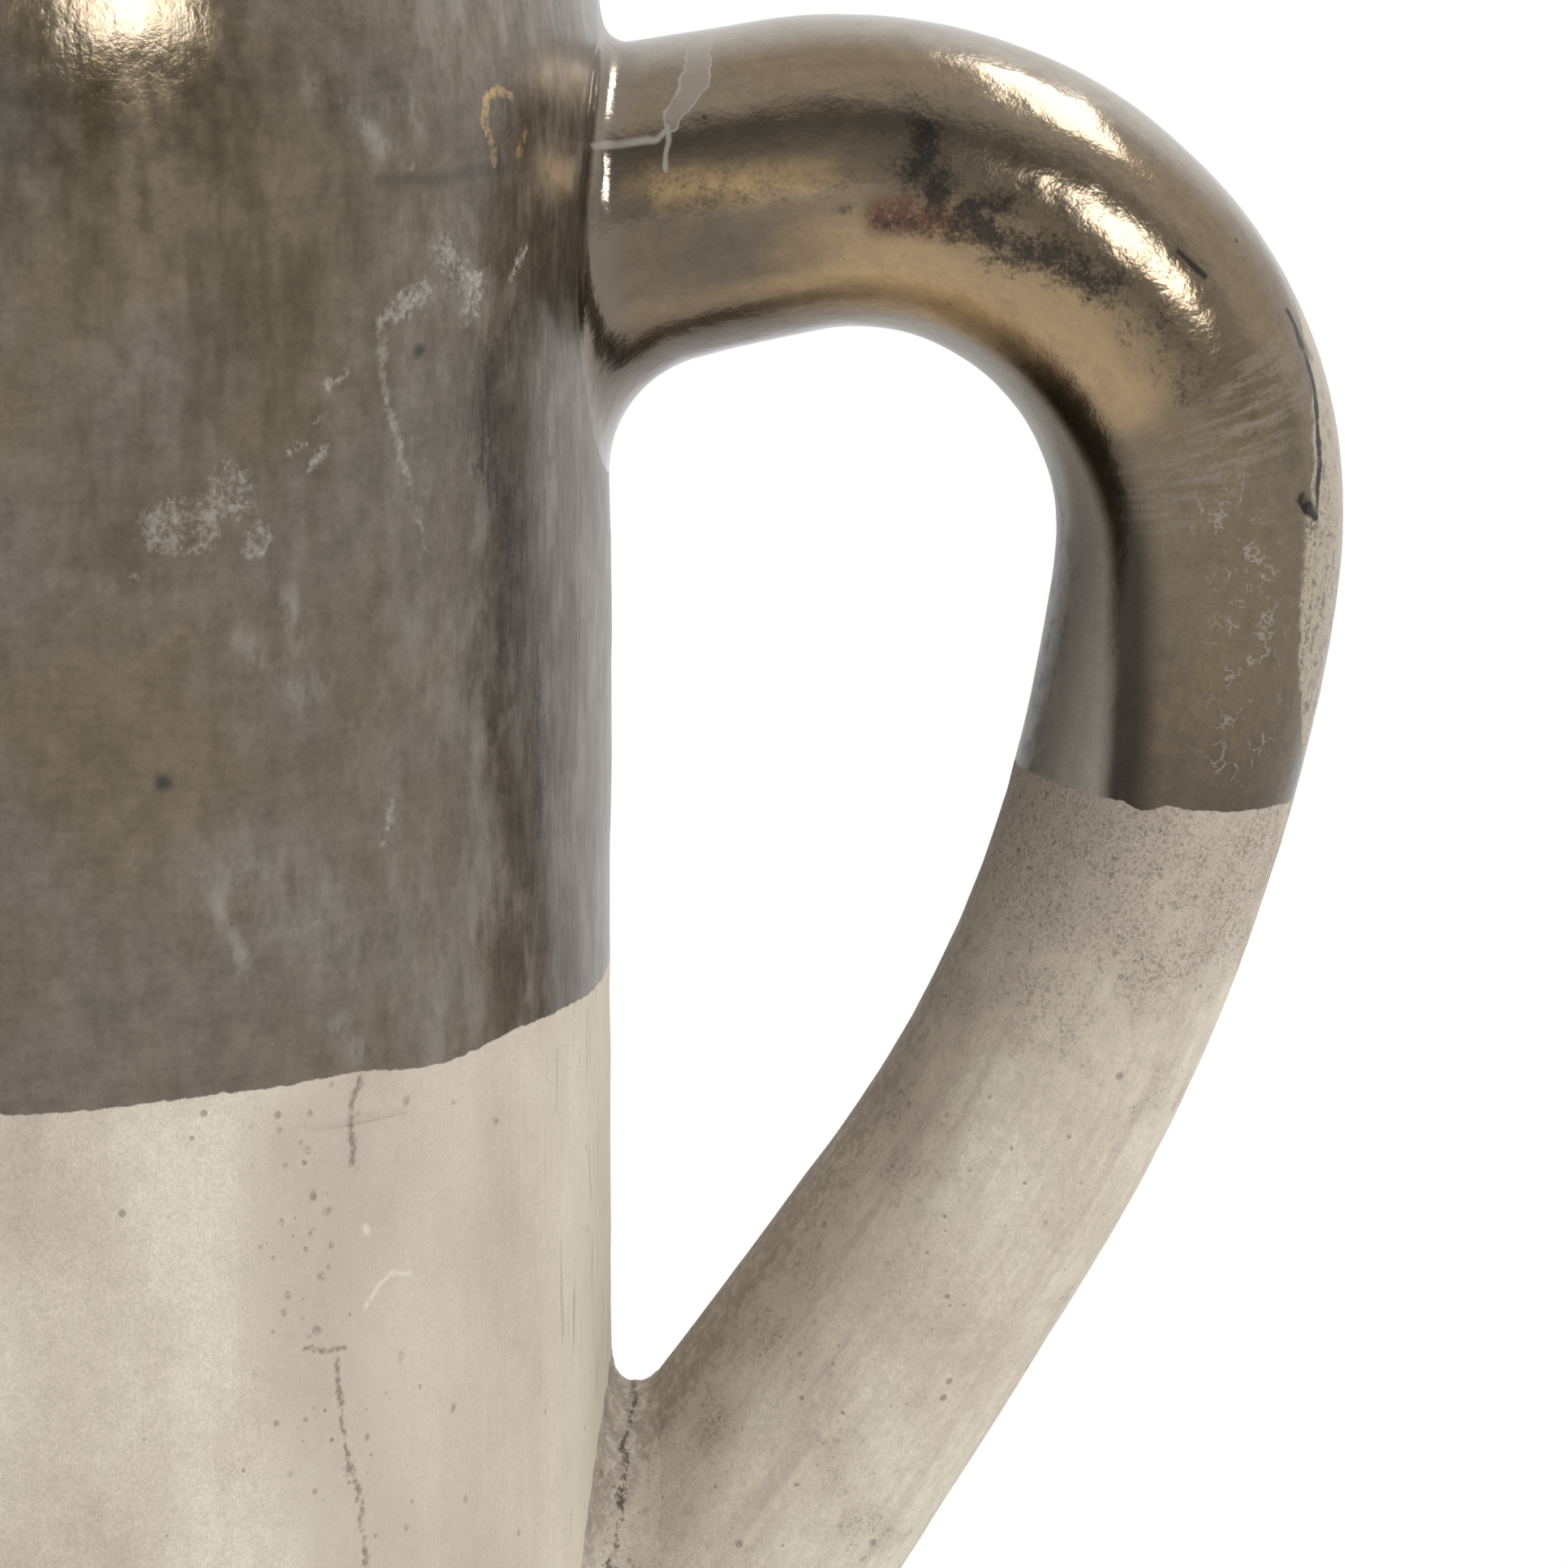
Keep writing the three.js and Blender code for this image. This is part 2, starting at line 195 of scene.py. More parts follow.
class JugTints(PropertyGroup):
    """Colours of the clay and the glazes"""

    clay: tint("Clay", "Bare stoneware", 194, 183, 166)
    clay_cloud: tint("Clay cloud", "Mauve grey clouds in the clay", 173, 160, 149)
    # Also laid as painted light on the wall's clay towards its right edge.
    clay_cream_and_light: tint("Clay cream", "Paler clay", 208, 200, 183)
    # Laid as painted shade inside the handle's loop, and as a darker grey round the wall's seam.
    clay_grey_and_shade: tint("Clay shade", "Ingrained grey inside the loop", 136, 123, 111)
    pore: tint("Pore", "Pores and ingrained dirt", 92, 80, 71)
    bronze: tint("Bronze", "Brown of the lustre on the wall", 116, 104, 88)
    pewter: tint("Pewter", "Grey of the lustre on the wall", 118, 109, 99)
    olive: tint("Olive", "Dark streaks in the lustre", 84, 74, 57)
    handle_bronze: tint("Handle bronze", "Brown of the polished lustre on the handle", 120, 105, 85)
    # Also laid as painted shade in the nook under the upper joint and at the root.
    bloom_and_shade: tint("Bloom", "Greyer lustre above the edge of the glaze", 88, 79, 69)
    # Painted reflection: the grey that the lustre shows of the bright surroundings, inside the loop
    # and along the arch's top.
    painted_reflection: tint("Film", "Grey film on the lustre inside the loop", 160, 154, 144)
    # Painted reflection: paler lustre where the arch's underside shows the floor.
    gold_reflection: tint("Gold wash", "Paler lustre under the arch", 164, 140, 107)
    # Painted highlights: the gold band at the root, the lightened underside of the arch, and the
    # glints on the wall.
    gold_highlight: tint("Gold", "Bright lustre", 186, 158, 116)
    crust: tint("Crust", "Dried pale glaze on the lustre", 158, 153, 146)
    # Also laid as painted shade and shadow: the dark band inside the loop, the leg's deep inside,
    # and the arc under the wall's glint.
    tarnish_and_shade: tint("Tarnish", "Burnt patches on the arch", 34, 30, 25)
    rust: tint("Rust", "Rusty patch on the arch", 92, 62, 45)
    worn: tint("Worn", "Pale worn lustre on the outside of the leg", 178, 166, 146)
    liner: tint("Liner", "Glaze of the inside", 70, 61, 51)


class JugStage(PropertyGroup):
    """Camera, lamps and floor"""

    distance: length("Camera distance", "From the point that the camera looks at", 1000)
    target: FloatVectorProperty(
        name="Camera target",
        description="The point that the camera looks at",
        default=(90.27 * MM, 0, 163 * MM),
        size=3,
        subtype="TRANSLATION",
        unit="LENGTH",
    )
    elevation: angle("Camera elevation", "How far the camera looks down", 11.5)
    lens: FloatProperty(name="Lens", description="Focal length", default=219.2, unit="CAMERA")
    front: amount("Front light", "Level of the room in front of the jug", 0.2)
    back: amount("Back light", "Level of the white sweep behind the jug", 1.1)
    horizon: amount(
        "Horizon", "How much brighter the room is just above the table's front edge", 0.46
    )
    key: amount("Key lamp", "Power of the lamp at the front right", 4)
    top: amount("Top lamp", "Power of the lamp overhead", 6.2)
    fill: amount("Fill lamp", "Power of the lamp at the front left", 0.3)
    side: amount("Side lamp", "Power of the lamp at the right", 0.25)


def polar(centre, radius, turn):
    return Vector((centre[0] + radius * cos(turn), centre[1] + radius * sin(turn)))


def arc(centre, radius, start, end, count):
    return [polar(centre, radius, start + (end - start) * i / count) for i in range(count + 1)]


def span(start, end, row):
    """Even steps of about a row from one value to another, with both ends."""
    count = max(1, ceil(abs(end - start) / row))
    return [start + (end - start) * i / count for i in range(count + 1)]


def ease(value, low, high):
    share = min(max((value - low) / (high - low), 0), 1)
    return share * share * (3 - 2 * share)


class JugShape:
    """The jug's outline and the line of its handle, worked out from the sizes."""

    def __init__(self, scene):
        self.clay = clay = scene.jug_clay
        self.ear = ear = scene.jug_handle
        self.glaze, self.tints = scene.jug_glaze, scene.jug_tints
        self.shoulder_centre = Vector((clay.body_radius - clay.shoulder_radius, clay.shoulder_z))
        self.neck_centre = polar(
            self.shoulder_centre, clay.shoulder_radius + clay.neck_hollow, clay.shoulder_turn
        )
        rim_reach = clay.neck_hollow + clay.wall / 2
        self.rim_centre = polar(self.neck_centre, rim_reach, pi - clay.rim_flare)
        self.rim_top = self.rim_centre.y + clay.wall / 2
        self.neck_foot = clay.shoulder_z + clay.shoulder_radius * sin(clay.shoulder_turn)

        self.root = Vector((clay.body_radius, ear.upper_z))
        self.arch_start = polar(self.root, ear.run, ear.rise)
        self.arch_centre = polar(self.arch_start, ear.arch_radius, ear.rise - pi / 2)
        self.run_heading = -pi / 2 - ear.leg_slant
        foot = Vector((clay.body_radius, ear.lower_z))
        inward = polar((0, 0), 1, self.run_heading - pi / 2)
        from_run = (self.arch_centre - foot).dot(inward)
        bow_turn = acos((ear.bow_radius - from_run) / (ear.bow_radius - ear.arch_radius))
        arch_turn = ear.rise - self.run_heading - bow_turn
        self.leg_heading = ear.rise - arch_turn
        leg_start = polar(self.arch_centre, ear.arch_radius, self.leg_heading + pi / 2)
        self.bow_centre = polar(leg_start, ear.bow_radius, self.leg_heading - pi / 2)
        self.run_start = polar(self.bow_centre, ear.bow_radius, self.run_heading + pi / 2)
        self.leg_at = ear.run + ear.arch_radius * arch_turn
        self.run_at = self.leg_at + ear.bow_radius * bow_turn
        self.line = self.run_at + (clay.body_radius - self.run_start.x) / cos(self.run_heading)

    def wall_radius(self, z):
        up = min(max(z - self.clay.shoulder_z, 0), self.neck_foot - self.clay.shoulder_z)
        return self.shoulder_centre.x + sqrt(self.clay.shoulder_radius**2 - up**2)

    def lip(self, point):
        """Draws a point of the neck out into the pouring lip."""
        aside = atan2(point.y, -point.x) / self.clay.lip_spread
        pull = ease(point.z, self.neck_foot, self.rim_top) * exp(-(aside**2))
        radius = hypot(point.x, point.y)
        stretch = 1 + self.clay.lip_reach * pull / radius if radius > 0 else 1
        return Vector((point.x * stretch, point.y * stretch, point.z + self.clay.lip_rise * pull))

    def handle_at(self, s):
        """Point and heading of the handle's line at a distance along it."""
        ear = self.ear
        if s < ear.run:
            return polar(self.root, s, ear.rise), ear.rise
        if s < self.leg_at:
            heading = ear.rise - (s - ear.run) / ear.arch_radius
            return polar(self.arch_centre, ear.arch_radius, heading + pi / 2), heading
        if s < self.run_at:
            heading = self.leg_heading - (s - self.leg_at) / ear.bow_radius
            return polar(self.bow_centre, ear.bow_radius, heading + pi / 2), heading
        return polar(self.run_start, s - self.run_at, self.run_heading), self.run_heading

    def handle_radius(self, s):
        ear = self.ear
        along = min(max(s, 0), self.line) - ear.waist_at
        to_root = (max(-along, 0) / ear.waist_at) ** ear.root_taper
        to_foot = (max(along, 0) / (self.line - ear.waist_at)) ** ear.foot_taper
        swell = (ear.root_radius - ear.waist_radius) * to_root
        return ear.waist_radius + swell + (ear.foot_radius - ear.waist_radius) * to_foot

    def skin(self, s, turn, out):
        """A point of the handle's skin, and where it lies on the handle pulled straight."""
        point, heading = self.handle_at(s)
        radius = self.handle_radius(s) + out
        side = Vector((-sin(heading) * cos(turn), -sin(turn), cos(heading) * cos(turn)))
        place = Vector((point.x, 0, point.y)) + side * radius
        return place, Vector((radius * cos(turn), radius * sin(turn), s))

    def ring(self, s, out):
        return [self.skin(s, turn, out) for turn in TURNS_ROUND]

    def upper_joint(self):
        ear = self.ear
        reach = ear.run + ear.arch_radius
        return Joint(self, -reach, reach, ear.fillet_above, ear.fillet_below, -ear.rise)

    def lower_joint(self):
        ear = self.ear
        reach = 2.4 * (ear.foot_radius + ear.fillet_outside)
        ends = self.line + reach, self.line - reach
        return Joint(self, *ends, ear.fillet_outside, ear.fillet_inside, pi / 2 - ear.leg_slant)


class Joint:
    """One end of the handle: how far worked clay spreads, and how the skin leans on the wall."""

    def __init__(self, shape, inside, clear, fillet_out, fillet_in, lean):
        self.shape, self.inside, self.clear = shape, inside, clear
        self.fillet_out, self.fillet_in, self.lean = fillet_out, fillet_in, lean

    def fillet(self, turn):
        share = ((1 - cos(turn)) / 2) ** 4
        return self.fillet_out + (self.fillet_in - self.fillet_out) * share

    def power(self, turn):
        """The power that gives the fillet the sag of a round one between skin and wall."""
        corner = pi / 2 + self.lean * cos(turn)
        return -log2((1 - sin(corner / 2)) / (1 + cos(corner)))

    def stand_off(self, turn, out, distance):
        """How far along the handle the skin stands off the wall by a distance."""
        inside, clear = self.inside, self.clear
        for _ in range(BISECTIONS):
            middle = (inside + clear) / 2
            place, _ = self.shape.skin(middle, turn, out)
            if hypot(place.x, place.y) - self.shape.wall_radius(place.z) < distance:
                inside = middle
            else:
                clear = middle
        return clear

    def ring(self, profile):
        """A ring of skin. From fillet and power, the profile gives its stand-off and its height."""
        ring = []
        for turn in TURNS_ROUND:
            off, out = profile(self.fillet(turn), self.power(turn))
            ring.append(self.shape.skin(self.stand_off(turn, out, off), turn, out))
        return ring

    def fillet_rings(self, coat):
        """Rings of the worked clay, from an edge tucked into the wall up to the handle."""
        rings = [
            self.ring(lambda fillet, power: (-0.8 * MM, fillet + 2.6 * MM)),
            self.ring(lambda fillet, power: (coat - 0.14 * MM, fillet + 1.1 * MM)),
        ]
        for t in span(0, 1, 1 / FILLET_STEPS):
            rings.append(
                self.ring(
                    lambda fillet, power: (
                        coat - 0.02 * MM + fillet * t**power,
                        coat + fillet * (1 - t) ** power,
                    )
                )
            )
        return rings


def start_piece(name, add):
    """Adds a primitive on its own and opens it for editing, with all of it selected."""
    bpy.ops.object.select_all(action="DESELECT")
    add()
    piece = bpy.context.object
    piece.name = piece.data.name = name
    bpy.ops.object.mode_set(mode="EDIT")
    bpy.ops.mesh.select_mode(type="VERT")
    bpy.ops.mesh.select_all(action="SELECT")
    return piece


def turned(name, outline):
    """A piece turned round the Z axis from a closed outline of radius and height."""
    piece = start_piece(name, lambda: bpy.ops.mesh.primitive_plane_add(size=WALL_ROW))
    bpy.ops.mesh.merge(type="CENTER")
    bpy.ops.transform.translate(value=(outline[0][0], 0, outline[0][1]))
    for here, there in zip(outline, outline[1:]):
        step = (there[0] - here[0], 0, there[1] - here[1])
        bpy.ops.mesh.extrude_vertices_move(TRANSFORM_OT_translate={"value": step})
    bpy.ops.mesh.select_all(action="SELECT")
    bpy.ops.mesh.spin(steps=SPIN_STEPS, angle=2 * pi, center=(0, 0, 0), axis=(0, 0, 1))
    bpy.ops.mesh.select_all(action="SELECT")
    bpy.ops.mesh.remove_doubles(threshold=0.01 * MM)
    bpy.ops.mesh.normals_make_consistent(inside=False)
    bpy.ops.object.mode_set(mode="OBJECT")
    return piece


def drawn(name, rings, shell):
    """A piece drawn out through rings, with its ends closed, or joined to each other as a shell."""
    circle = {"vertices": HANDLE_SIDES, "radius": MM}
    piece = start_piece(name, lambda: bpy.ops.mesh.primitive_circle_add(**circle))
    mesh = bmesh.from_edit_mesh(piece.data)
    turn_of = mesh.verts.layers.int.new("turn")
    mesh.verts.layers.float_vector.new("lay")
    mesh.verts.ensure_lookup_table()
    for i, vert in enumerate(mesh.verts):
        vert[turn_of] = i
    for i, ring in enumerate(rings):
        if i:
            bpy.ops.mesh.extrude_edges_move()
        mesh = bmesh.from_edit_mesh(piece.data)
        turn_of = mesh.verts.layers.int["turn"]
        lay = mesh.verts.layers.float_vector["lay"]
        for vert in mesh.verts:
            if vert.select:
                vert.co, vert[lay] = ring[vert[turn_of]]
        bmesh.update_edit_mesh(piece.data)
    bpy.ops.mesh.select_all(action="DESELECT")
    bpy.ops.mesh.select_non_manifold(extend=False)
    if shell:
        bpy.ops.mesh.bridge_edge_loops()
    else:
        bpy.ops.mesh.fill_holes(sides=0)
    bpy.ops.mesh.select_all(action="SELECT")
    bpy.ops.mesh.normals_make_consistent(inside=False)
    bpy.ops.object.mode_set(mode="OBJECT")
    piece.data.attributes.remove(piece.data.attributes["turn"])
    return piece


def subdivided(piece):
    bpy.context.view_layer.objects.active = piece
    smooth = piece.modifiers.new("smooth", "SUBSURF")
    smooth.levels = smooth.render_levels = SUBDIVISIONS
    bpy.ops.object.modifier_apply(modifier=smooth.name)


def worked(piece, *more_waves, still_below=None):
    """Subdivides a piece and gives it its uneven surface. A foot below some height stays flat."""
    subdivided(piece)
    if still_below is not None:
        group = piece.vertex_groups.new(name="worked")
        for vert in piece.data.vertices:
            group.add([vert.index], ease(vert.co.z, still_below, 4 * still_below), "REPLACE")
    for name, size, detail, height in [*HAND_WAVES, *more_waves]:
        texture = bpy.data.textures.get(name) or bpy.data.textures.new(name, "CLOUDS")
        texture.noise_scale = size * MM
        texture.noise_depth = detail
        marks = piece.modifiers.new(name, "DISPLACE")
        marks.texture = texture
        marks.texture_coords = "LOCAL"
        marks.strength = height * MM
        marks.mid_level = 0.5
        if still_below is not None:
            marks.vertex_group = "worked"
        bpy.ops.object.modifier_apply(modifier=marks.name)
    piece.vertex_groups.clear()


def finished(piece, finish, slot, *nodes):
    """Smooths a piece, gives it its finish and sets it in the frame in place of its solids."""
    bpy.ops.object.select_all(action="DESELECT")
    piece.select_set(True)
    bpy.context.view_layer.objects.active = piece
    bpy.ops.object.shade_smooth()
    piece.data.materials.clear()
    piece.data.materials.append(finish)
    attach(piece, "root")
    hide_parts(*nodes)


class Wire:
    """A value that runs between nodes. Sums with it add the nodes that work them out."""

    def __init__(self, nodes, socket):
        self.nodes, self.socket = nodes, socket

    def __add__(self, other):
        return self.nodes.math("ADD", self, other)

    def __sub__(self, other):
        return self.nodes.math("SUBTRACT", self, other)

    def __rsub__(self, other):
        return self.nodes.math("SUBTRACT", other, self)

    def __mul__(self, other):
        return self.nodes.math("MULTIPLY", self, other)

    def __truediv__(self, other):
        return self.nodes.math("DIVIDE", self, other)

    def __abs__(self):
        return self.nodes.math("ABSOLUTE", self)

    def __or__(self, other):
        """Where either mask is."""
        return self.nodes.math("MAXIMUM", self, other)

    def __invert__(self):
        """Where a mask isn't."""
        return self.nodes.math("SUBTRACT", 1, self, clamp=True)

    def vector(self, operation, other):
        output = "Value" if operation in ("DOT_PRODUCT", "DISTANCE") else "Vector"
        return self.nodes.wire("VectorMath", output, {0: self, 1: other}, operation=operation)

    def axes(self):
        outputs = self.nodes.add("SeparateXYZ", {0: self}).outputs
        return [Wire(self.nodes, socket) for socket in outputs]

    def rises(self, low, high):
        """0 up to a low value, 1 from a high one."""
        feeds = {"Value": self, "From Min": low, "From Max": high}
        return self.nodes.wire("MapRange", "Result", feeds, interpolation_type="SMOOTHSTEP")

    def falls(self, low, high):
        """1 up to a low value, 0 from a high one."""
        return 1 - self.rises(low, high)

    def broken(self, noise, by=4, soft=0.5):
        """A soft mask eaten into by a noise, which leaves a crumbly edge."""
        middle = 0.5 + by / 2
        return (self + noise * by).rises(middle, middle + soft) * self.rises(0, 0.3)

    def mix(self, a, b):
        """A value where the mask isn't, and another where it is."""
        return self.nodes.wire("Mix", 0, {0: self, 2: a, 3: b})

    def blend(self, a, b):
        """A colour where the mask isn't, and another where it is."""
        return self.nodes.wire("Mix", 2, {0: self, 6: a, 7: b}, data_type="RGBA")


class Nodes:
    """The node tree of a material or world, and short ways to add to it."""

    def __init__(self, owner):
        owner.use_nodes = True
        self.tree = owner.node_tree
        self.tree.nodes.clear()

    def add(self, kind, feeds=None, **settings):
        node = self.tree.nodes.new("ShaderNode" + kind)
        for name, value in settings.items():
            setattr(node, name, value)
        for name, value in (feeds or {}).items():
            self.feed(node.inputs[name], value)
        return node

    def feed(self, socket, value):
        if isinstance(value, Wire):
            self.tree.links.new(value.socket, socket)
        else:
            socket.default_value = (*value, 1) if socket.type == "RGBA" else value

    def wire(self, kind, output, feeds=None, **settings):
        return Wire(self, self.add(kind, feeds, **settings).outputs[output])

    def math(self, operation, *values, clamp=False):
        feeds = dict(enumerate(values))
        return self.wire("Math", 0, feeds, operation=operation, use_clamp=clamp)

    def scaled(self, vector, by):
        return self.wire("VectorMath", "Vector", {0: vector, "Scale": by}, operation="SCALE")

    def ray(self, kind):
        return self.wire("LightPath", f"Is {kind} Ray")


class Finish(Nodes):
    """A procedural finish: one shader and the nodes that feed it. Lengths are in millimetres."""

    def __init__(self, name):
        self.material = bpy.data.materials.new(name)
        super().__init__(self.material)
        self.shader = self.add("BsdfPrincipled")
        self.bare = Wire(self, self.shader.outputs["BSDF"])
        self.output = self.add("OutputMaterial", {"Surface": self.bare})
        self.at = self.scaled(self.wire("TexCoord", "Object"), 1 / MM)

    def set(self, **inputs):
        """Feeds the shader's inputs, with _ for the spaces in their names."""
        for name, value in inputs.items():
            self.feed(self.shader.inputs[name.replace("_", " ")], value)

    def straightened(self):
        """Place on the handle pulled straight, with its line as the third axis."""
        return self.scaled(self.wire("Attribute", "Vector", attribute_name="lay"), 1 / MM)

    def from_axis(self):
        """Distance from the jug's upright axis."""
        x, y, _ = self.at.axes()
        return self.math("SQRT", x * x + y * y)

    def noise(self, at, size, detail=2, roughness=0.5, stretch=None, kind="Fac"):
        if stretch:
            at = at.vector("MULTIPLY", stretch)
        feeds = {"Vector": at, "Scale": 1 / size, "Detail": detail, "Roughness": roughness}
        return self.wire("TexNoise", kind, feeds)

    def dots(self, size, share, radius):
        """Round dots of uneven size in a share of the cells of a size."""
        cells = self.add("TexVoronoi", {"Vector": self.at, "Scale": 1 / size}).outputs
        chance, growth, _ = Wire(self, cells["Color"]).axes()
        grown = growth * (0.7 * radius / size) + 0.3 * radius / size
        inside = ~(Wire(self, cells["Distance"]) / grown)
        return chance.rises(1 - share, 1.05 - share) * inside.rises(0, 0.5)

    def surface(self, look):
        bump = self.wire("Bump", "Normal", {"Distance": MM, "Height": look.relief})
        self.set(Base_Color=look.colour, Roughness=look.rough, Normal=bump)
        if look.metal:
            self.set(Metallic=look.metal)
        return self.material


class Look:
    """What feeds a shader. A colour is built up by laying tints; the relief is in millimetres."""

    rough = relief = mottle = metal = None

    def __init__(self, f, colour):
        self.f, self.colour = f, colour

    def lay(self, tint, share):
        """Lays a tint over the colour, by a share of it."""
        self.colour = share.blend(self.colour, tint)

    def shade(self, by):
        """Makes the colour lighter or darker by a factor."""
        self.colour = self.f.scaled(self.colour, by)


class Sheet:
    """A round surface laid flat, for marks given by degrees round it and millimetres along it."""

    def __init__(self, f, place, radius, wander=0.9):
        self.f, self.radius = f, radius
        x, y, self.along = place.axes()
        turn = f.math("ARCTAN2", y, x)
        self.degrees = turn * degrees(1)
        self.aside = abs(self.degrees)
        flat = f.wire("CombineXYZ", 0, {0: turn * radius, 1: self.along})
        drift = f.noise(place, 4.5, 1, kind="Color").vector("SUBTRACT", (0.5, 0.5, 0.5))
        self.at = flat.vector("ADD", drift.vector("MULTIPLY", (2 * wander, 2 * wander, 0)))

    def laid(self, point):
        return Vector((radians(point[0]) * self.radius, point[1], 0))

    def nearest(self, offs):
        return reduce(lambda a, b: self.f.math("MINIMUM", a, b), offs)

    def off(self, line):
        """Distance from a line through points."""

        def off_run(start, end):
            way = end - start
            there = self.at.vector("SUBTRACT", start)
            share = there.vector("DOT_PRODUCT", way) * (1 / way.length_squared) | 0
            return there.vector("DISTANCE", self.f.scaled(way, self.f.math("MINIMUM", share, 1)))

        return self.nearest(map(off_run, map(self.laid, line), map(self.laid, line[1:])))

    def line(self, full, end, *lines):
        """A mark along lines: 1 up to a distance from them, 0 from another."""
        return self.nearest(map(self.off, lines)).falls(full, end)

    def spot(self, full, end, *points):
        """A mark round points: 1 up to a distance from them, 0 from another."""
        offs = (self.at.vector("DISTANCE", self.laid(point)) for point in points)
        return self.nearest(offs).falls(full, end)


# Marks on the wall: degrees round it and height
SEAM = [(-48.2, 144), (-48.7, 141.5), (-48.9, 135.8)]
SEAM_KNOT = (-48.2, 143.4)
SEAM_BAND = [(-53, 138), (-53, 118), (-50, 106), (-48, 95)]
CROSS_CRACK = [(-53.7, 117.4), (-50.1, 116.6)]
FINE_CRACK = [(-50.7, 115.3), (-50.6, 109.4), (-49.3, 104), (-48.2, 100.4), (-47.9, 93.5)]
CRACK_KNOT = (-49.4, 104.2)
CLAY_DOTS = [
    (-53.1, 137.5), (-53.1, 132.9), (-51.2, 131.2), (-52.9, 129.1), (-52, 124.3), (-52.6, 119),
    (-42.9, 140.7), (-32.2, 135.8), (-43.8, 114.3), (-38.1, 107.6),
]
SLIP_TRAIL = [(-48, 120.5), (-46.3, 122.4), (-45, 123.2), (-42.8, 122.7)]
SLIP_DOT = (-47.5, 128.4)
CRUST_LOBES = [
    ((-65, 202), 5.29), ((-62.4, 201.6), 4.6), ((-59.8, 204.8), 4.37), ((-57.5, 199.8), 2.53),
]
CRUST_DOTS = [(-67.8, 197.1), (-51.6, 210.7), (-52, 160.5), (-41.8, 234.8)]
CRUST_RUN = [(-45.2, 220), (-44.9, 215.4), (-44.7, 211.4), (-43.4, 207.1), (-42.3, 203.3)]
CRUST_RUN_END = [(-42.3, 203.3), (-41.5, 199.5), (-40.3, 194.4)]
CRUST_HEADS = [
    [(-38.1, 225.8), (-37.1, 223.2), (-34.5, 222.4), (-35.1, 219.2)],
    [(-43.1, 221), (-41, 221.7)],
]
CRUST_CHIPS = [
    [(-27.4, 224.5), (-29.3, 221.6)],
    [(-50.8, 214.2), (-48.8, 215)],
    [(-54.2, 208), (-52.9, 208.6)],
    [(-52.6, 206.4), (-51.1, 208.4)],
    [(-44.6, 171.5), (-45.5, 168)],
    [(-10.5, 203.5), (-9.5, 200)],
    [(-9, 197.5), (-8, 195)],
]
PALE_STROKES = [
    [(-54.8, 193), (-51.5, 184.5)],
    [(-59, 190), (-54, 184)],
    [(-62, 166), (-58.5, 156.5)],
    [(-51.3, 243.8), (-48.6, 240.8), (-44.4, 236.7)],
    [(-42.6, 244.1), (-40.8, 239)],
    [(-49.8, 150), (-48.2, 146.5)],
]
PALE_CLOUD = [(-60, 166), (-53, 162), (-45, 158)]
WALL_PITS = [(-41, 216.5), (-66, 176.5)]
OLIVE_SMUDGES = [
    [(-70.2, 247), (-70.2, 235)],
    [(-71, 230), (-70.6, 223)],
    [(-62.7, 228), (-62.7, 221)],
    [(-61.5, 246), (-61.5, 236)],
]
ARC_SHADOW = [(-45.3, 233.6), (-37, 233.1), (-28, 232.8)]
DARK_FLECKS = [(-32.4, 213.5), (-33, 204.6), (-30.1, 199.1), (-30.2, 193.3)]
DARK_STREAKS = [(-25, 188), (-25, 164)]
GLINTS = [
    [(-31.6, 234), (-32.6, 238), (-32, 240), (-30.5, 240.6), (-28.5, 240)],
    [(-26.6, 236.3), (-28.2, 234.2)],
]
EDGE_DIP = (-38.7, 143)

# Marks on the handle: degrees round it, from outside the loop, and distance along it
SOOT = [
    ([(90, 37), (82, 41)], 1.8),
    ([(95, 37.5), (96, 42), (93, 46.5), (89, 48), (91, 50), (86, 53)], 3),
    ([(66, 32), (80, 32), (87, 34)], 3),
]
SOOT_DOTS = [(71, 42), (73, 45.5), (62, 49.5)]
SMOKE = [
    [(64, 31), (80, 32), (87, 38), (82, 44)],
    [(93, 44), (84, 55), (78, 61), (77, 66)],
]
SOOT_LINE = [(56, 56), (55, 59)]
RUST_PATCH = [(98, 29), (96, 33), (95, 37)]
RUST_SMEAR = [(97, 24), (101, 28), (103, 33), (100, 39.5)]
GOLD_HIGHLIGHT_BAND = [(78, 4), (80, 13.5), (84, 22), (84, 27)]
GOLD_REFLECTION = [(120, 22.5), (119, 31), (112, 41), (108, 50.5), (108, 63)]
ROOT_SHADE = [(98, 4), (103, 12), (110, 19)]
DRIP = [(18, 12.5), (28, 12.5), (40, 11), (50, 8.5), (55, 7.5)]
DRIP_TAILS = [[(56, 7), (63, 6.8), (71, 6)], [(58, 6.5), (60, 4.5), (60, 1)]]
LIP_CRACK = [(24, 66), (29, 73), (36, 78.5), (40, 81.5)]
LIP_CHIP = [(47, 79.7), (41, 81.2)]
LEG_HAZE = [(103, 76.5), (82, 74), (56, 70)]
CRAZE_PATCH = [(84, 80), (70, 88), (62, 104)]
CRAZE_SIZE = 1.8

# Inside the loop a painted grey reflection, with a painted shadow band beside it, begins at a turn
# that falls with the square of the distance along it.
# Outside the loop a worn patch narrows in the same way from its middle.
REFLECTION_FROM, REFLECTION_TURN, REFLECTION_SPREAD = 20, 149, 0.004
WORN_AT, WORN_TURN, WORN_SPREAD, WORN_FAR_SIDE = 86, 47, 0.085, 14

COAT_GLOSS = 0.24
COAT_ROUGHNESS = 0.12


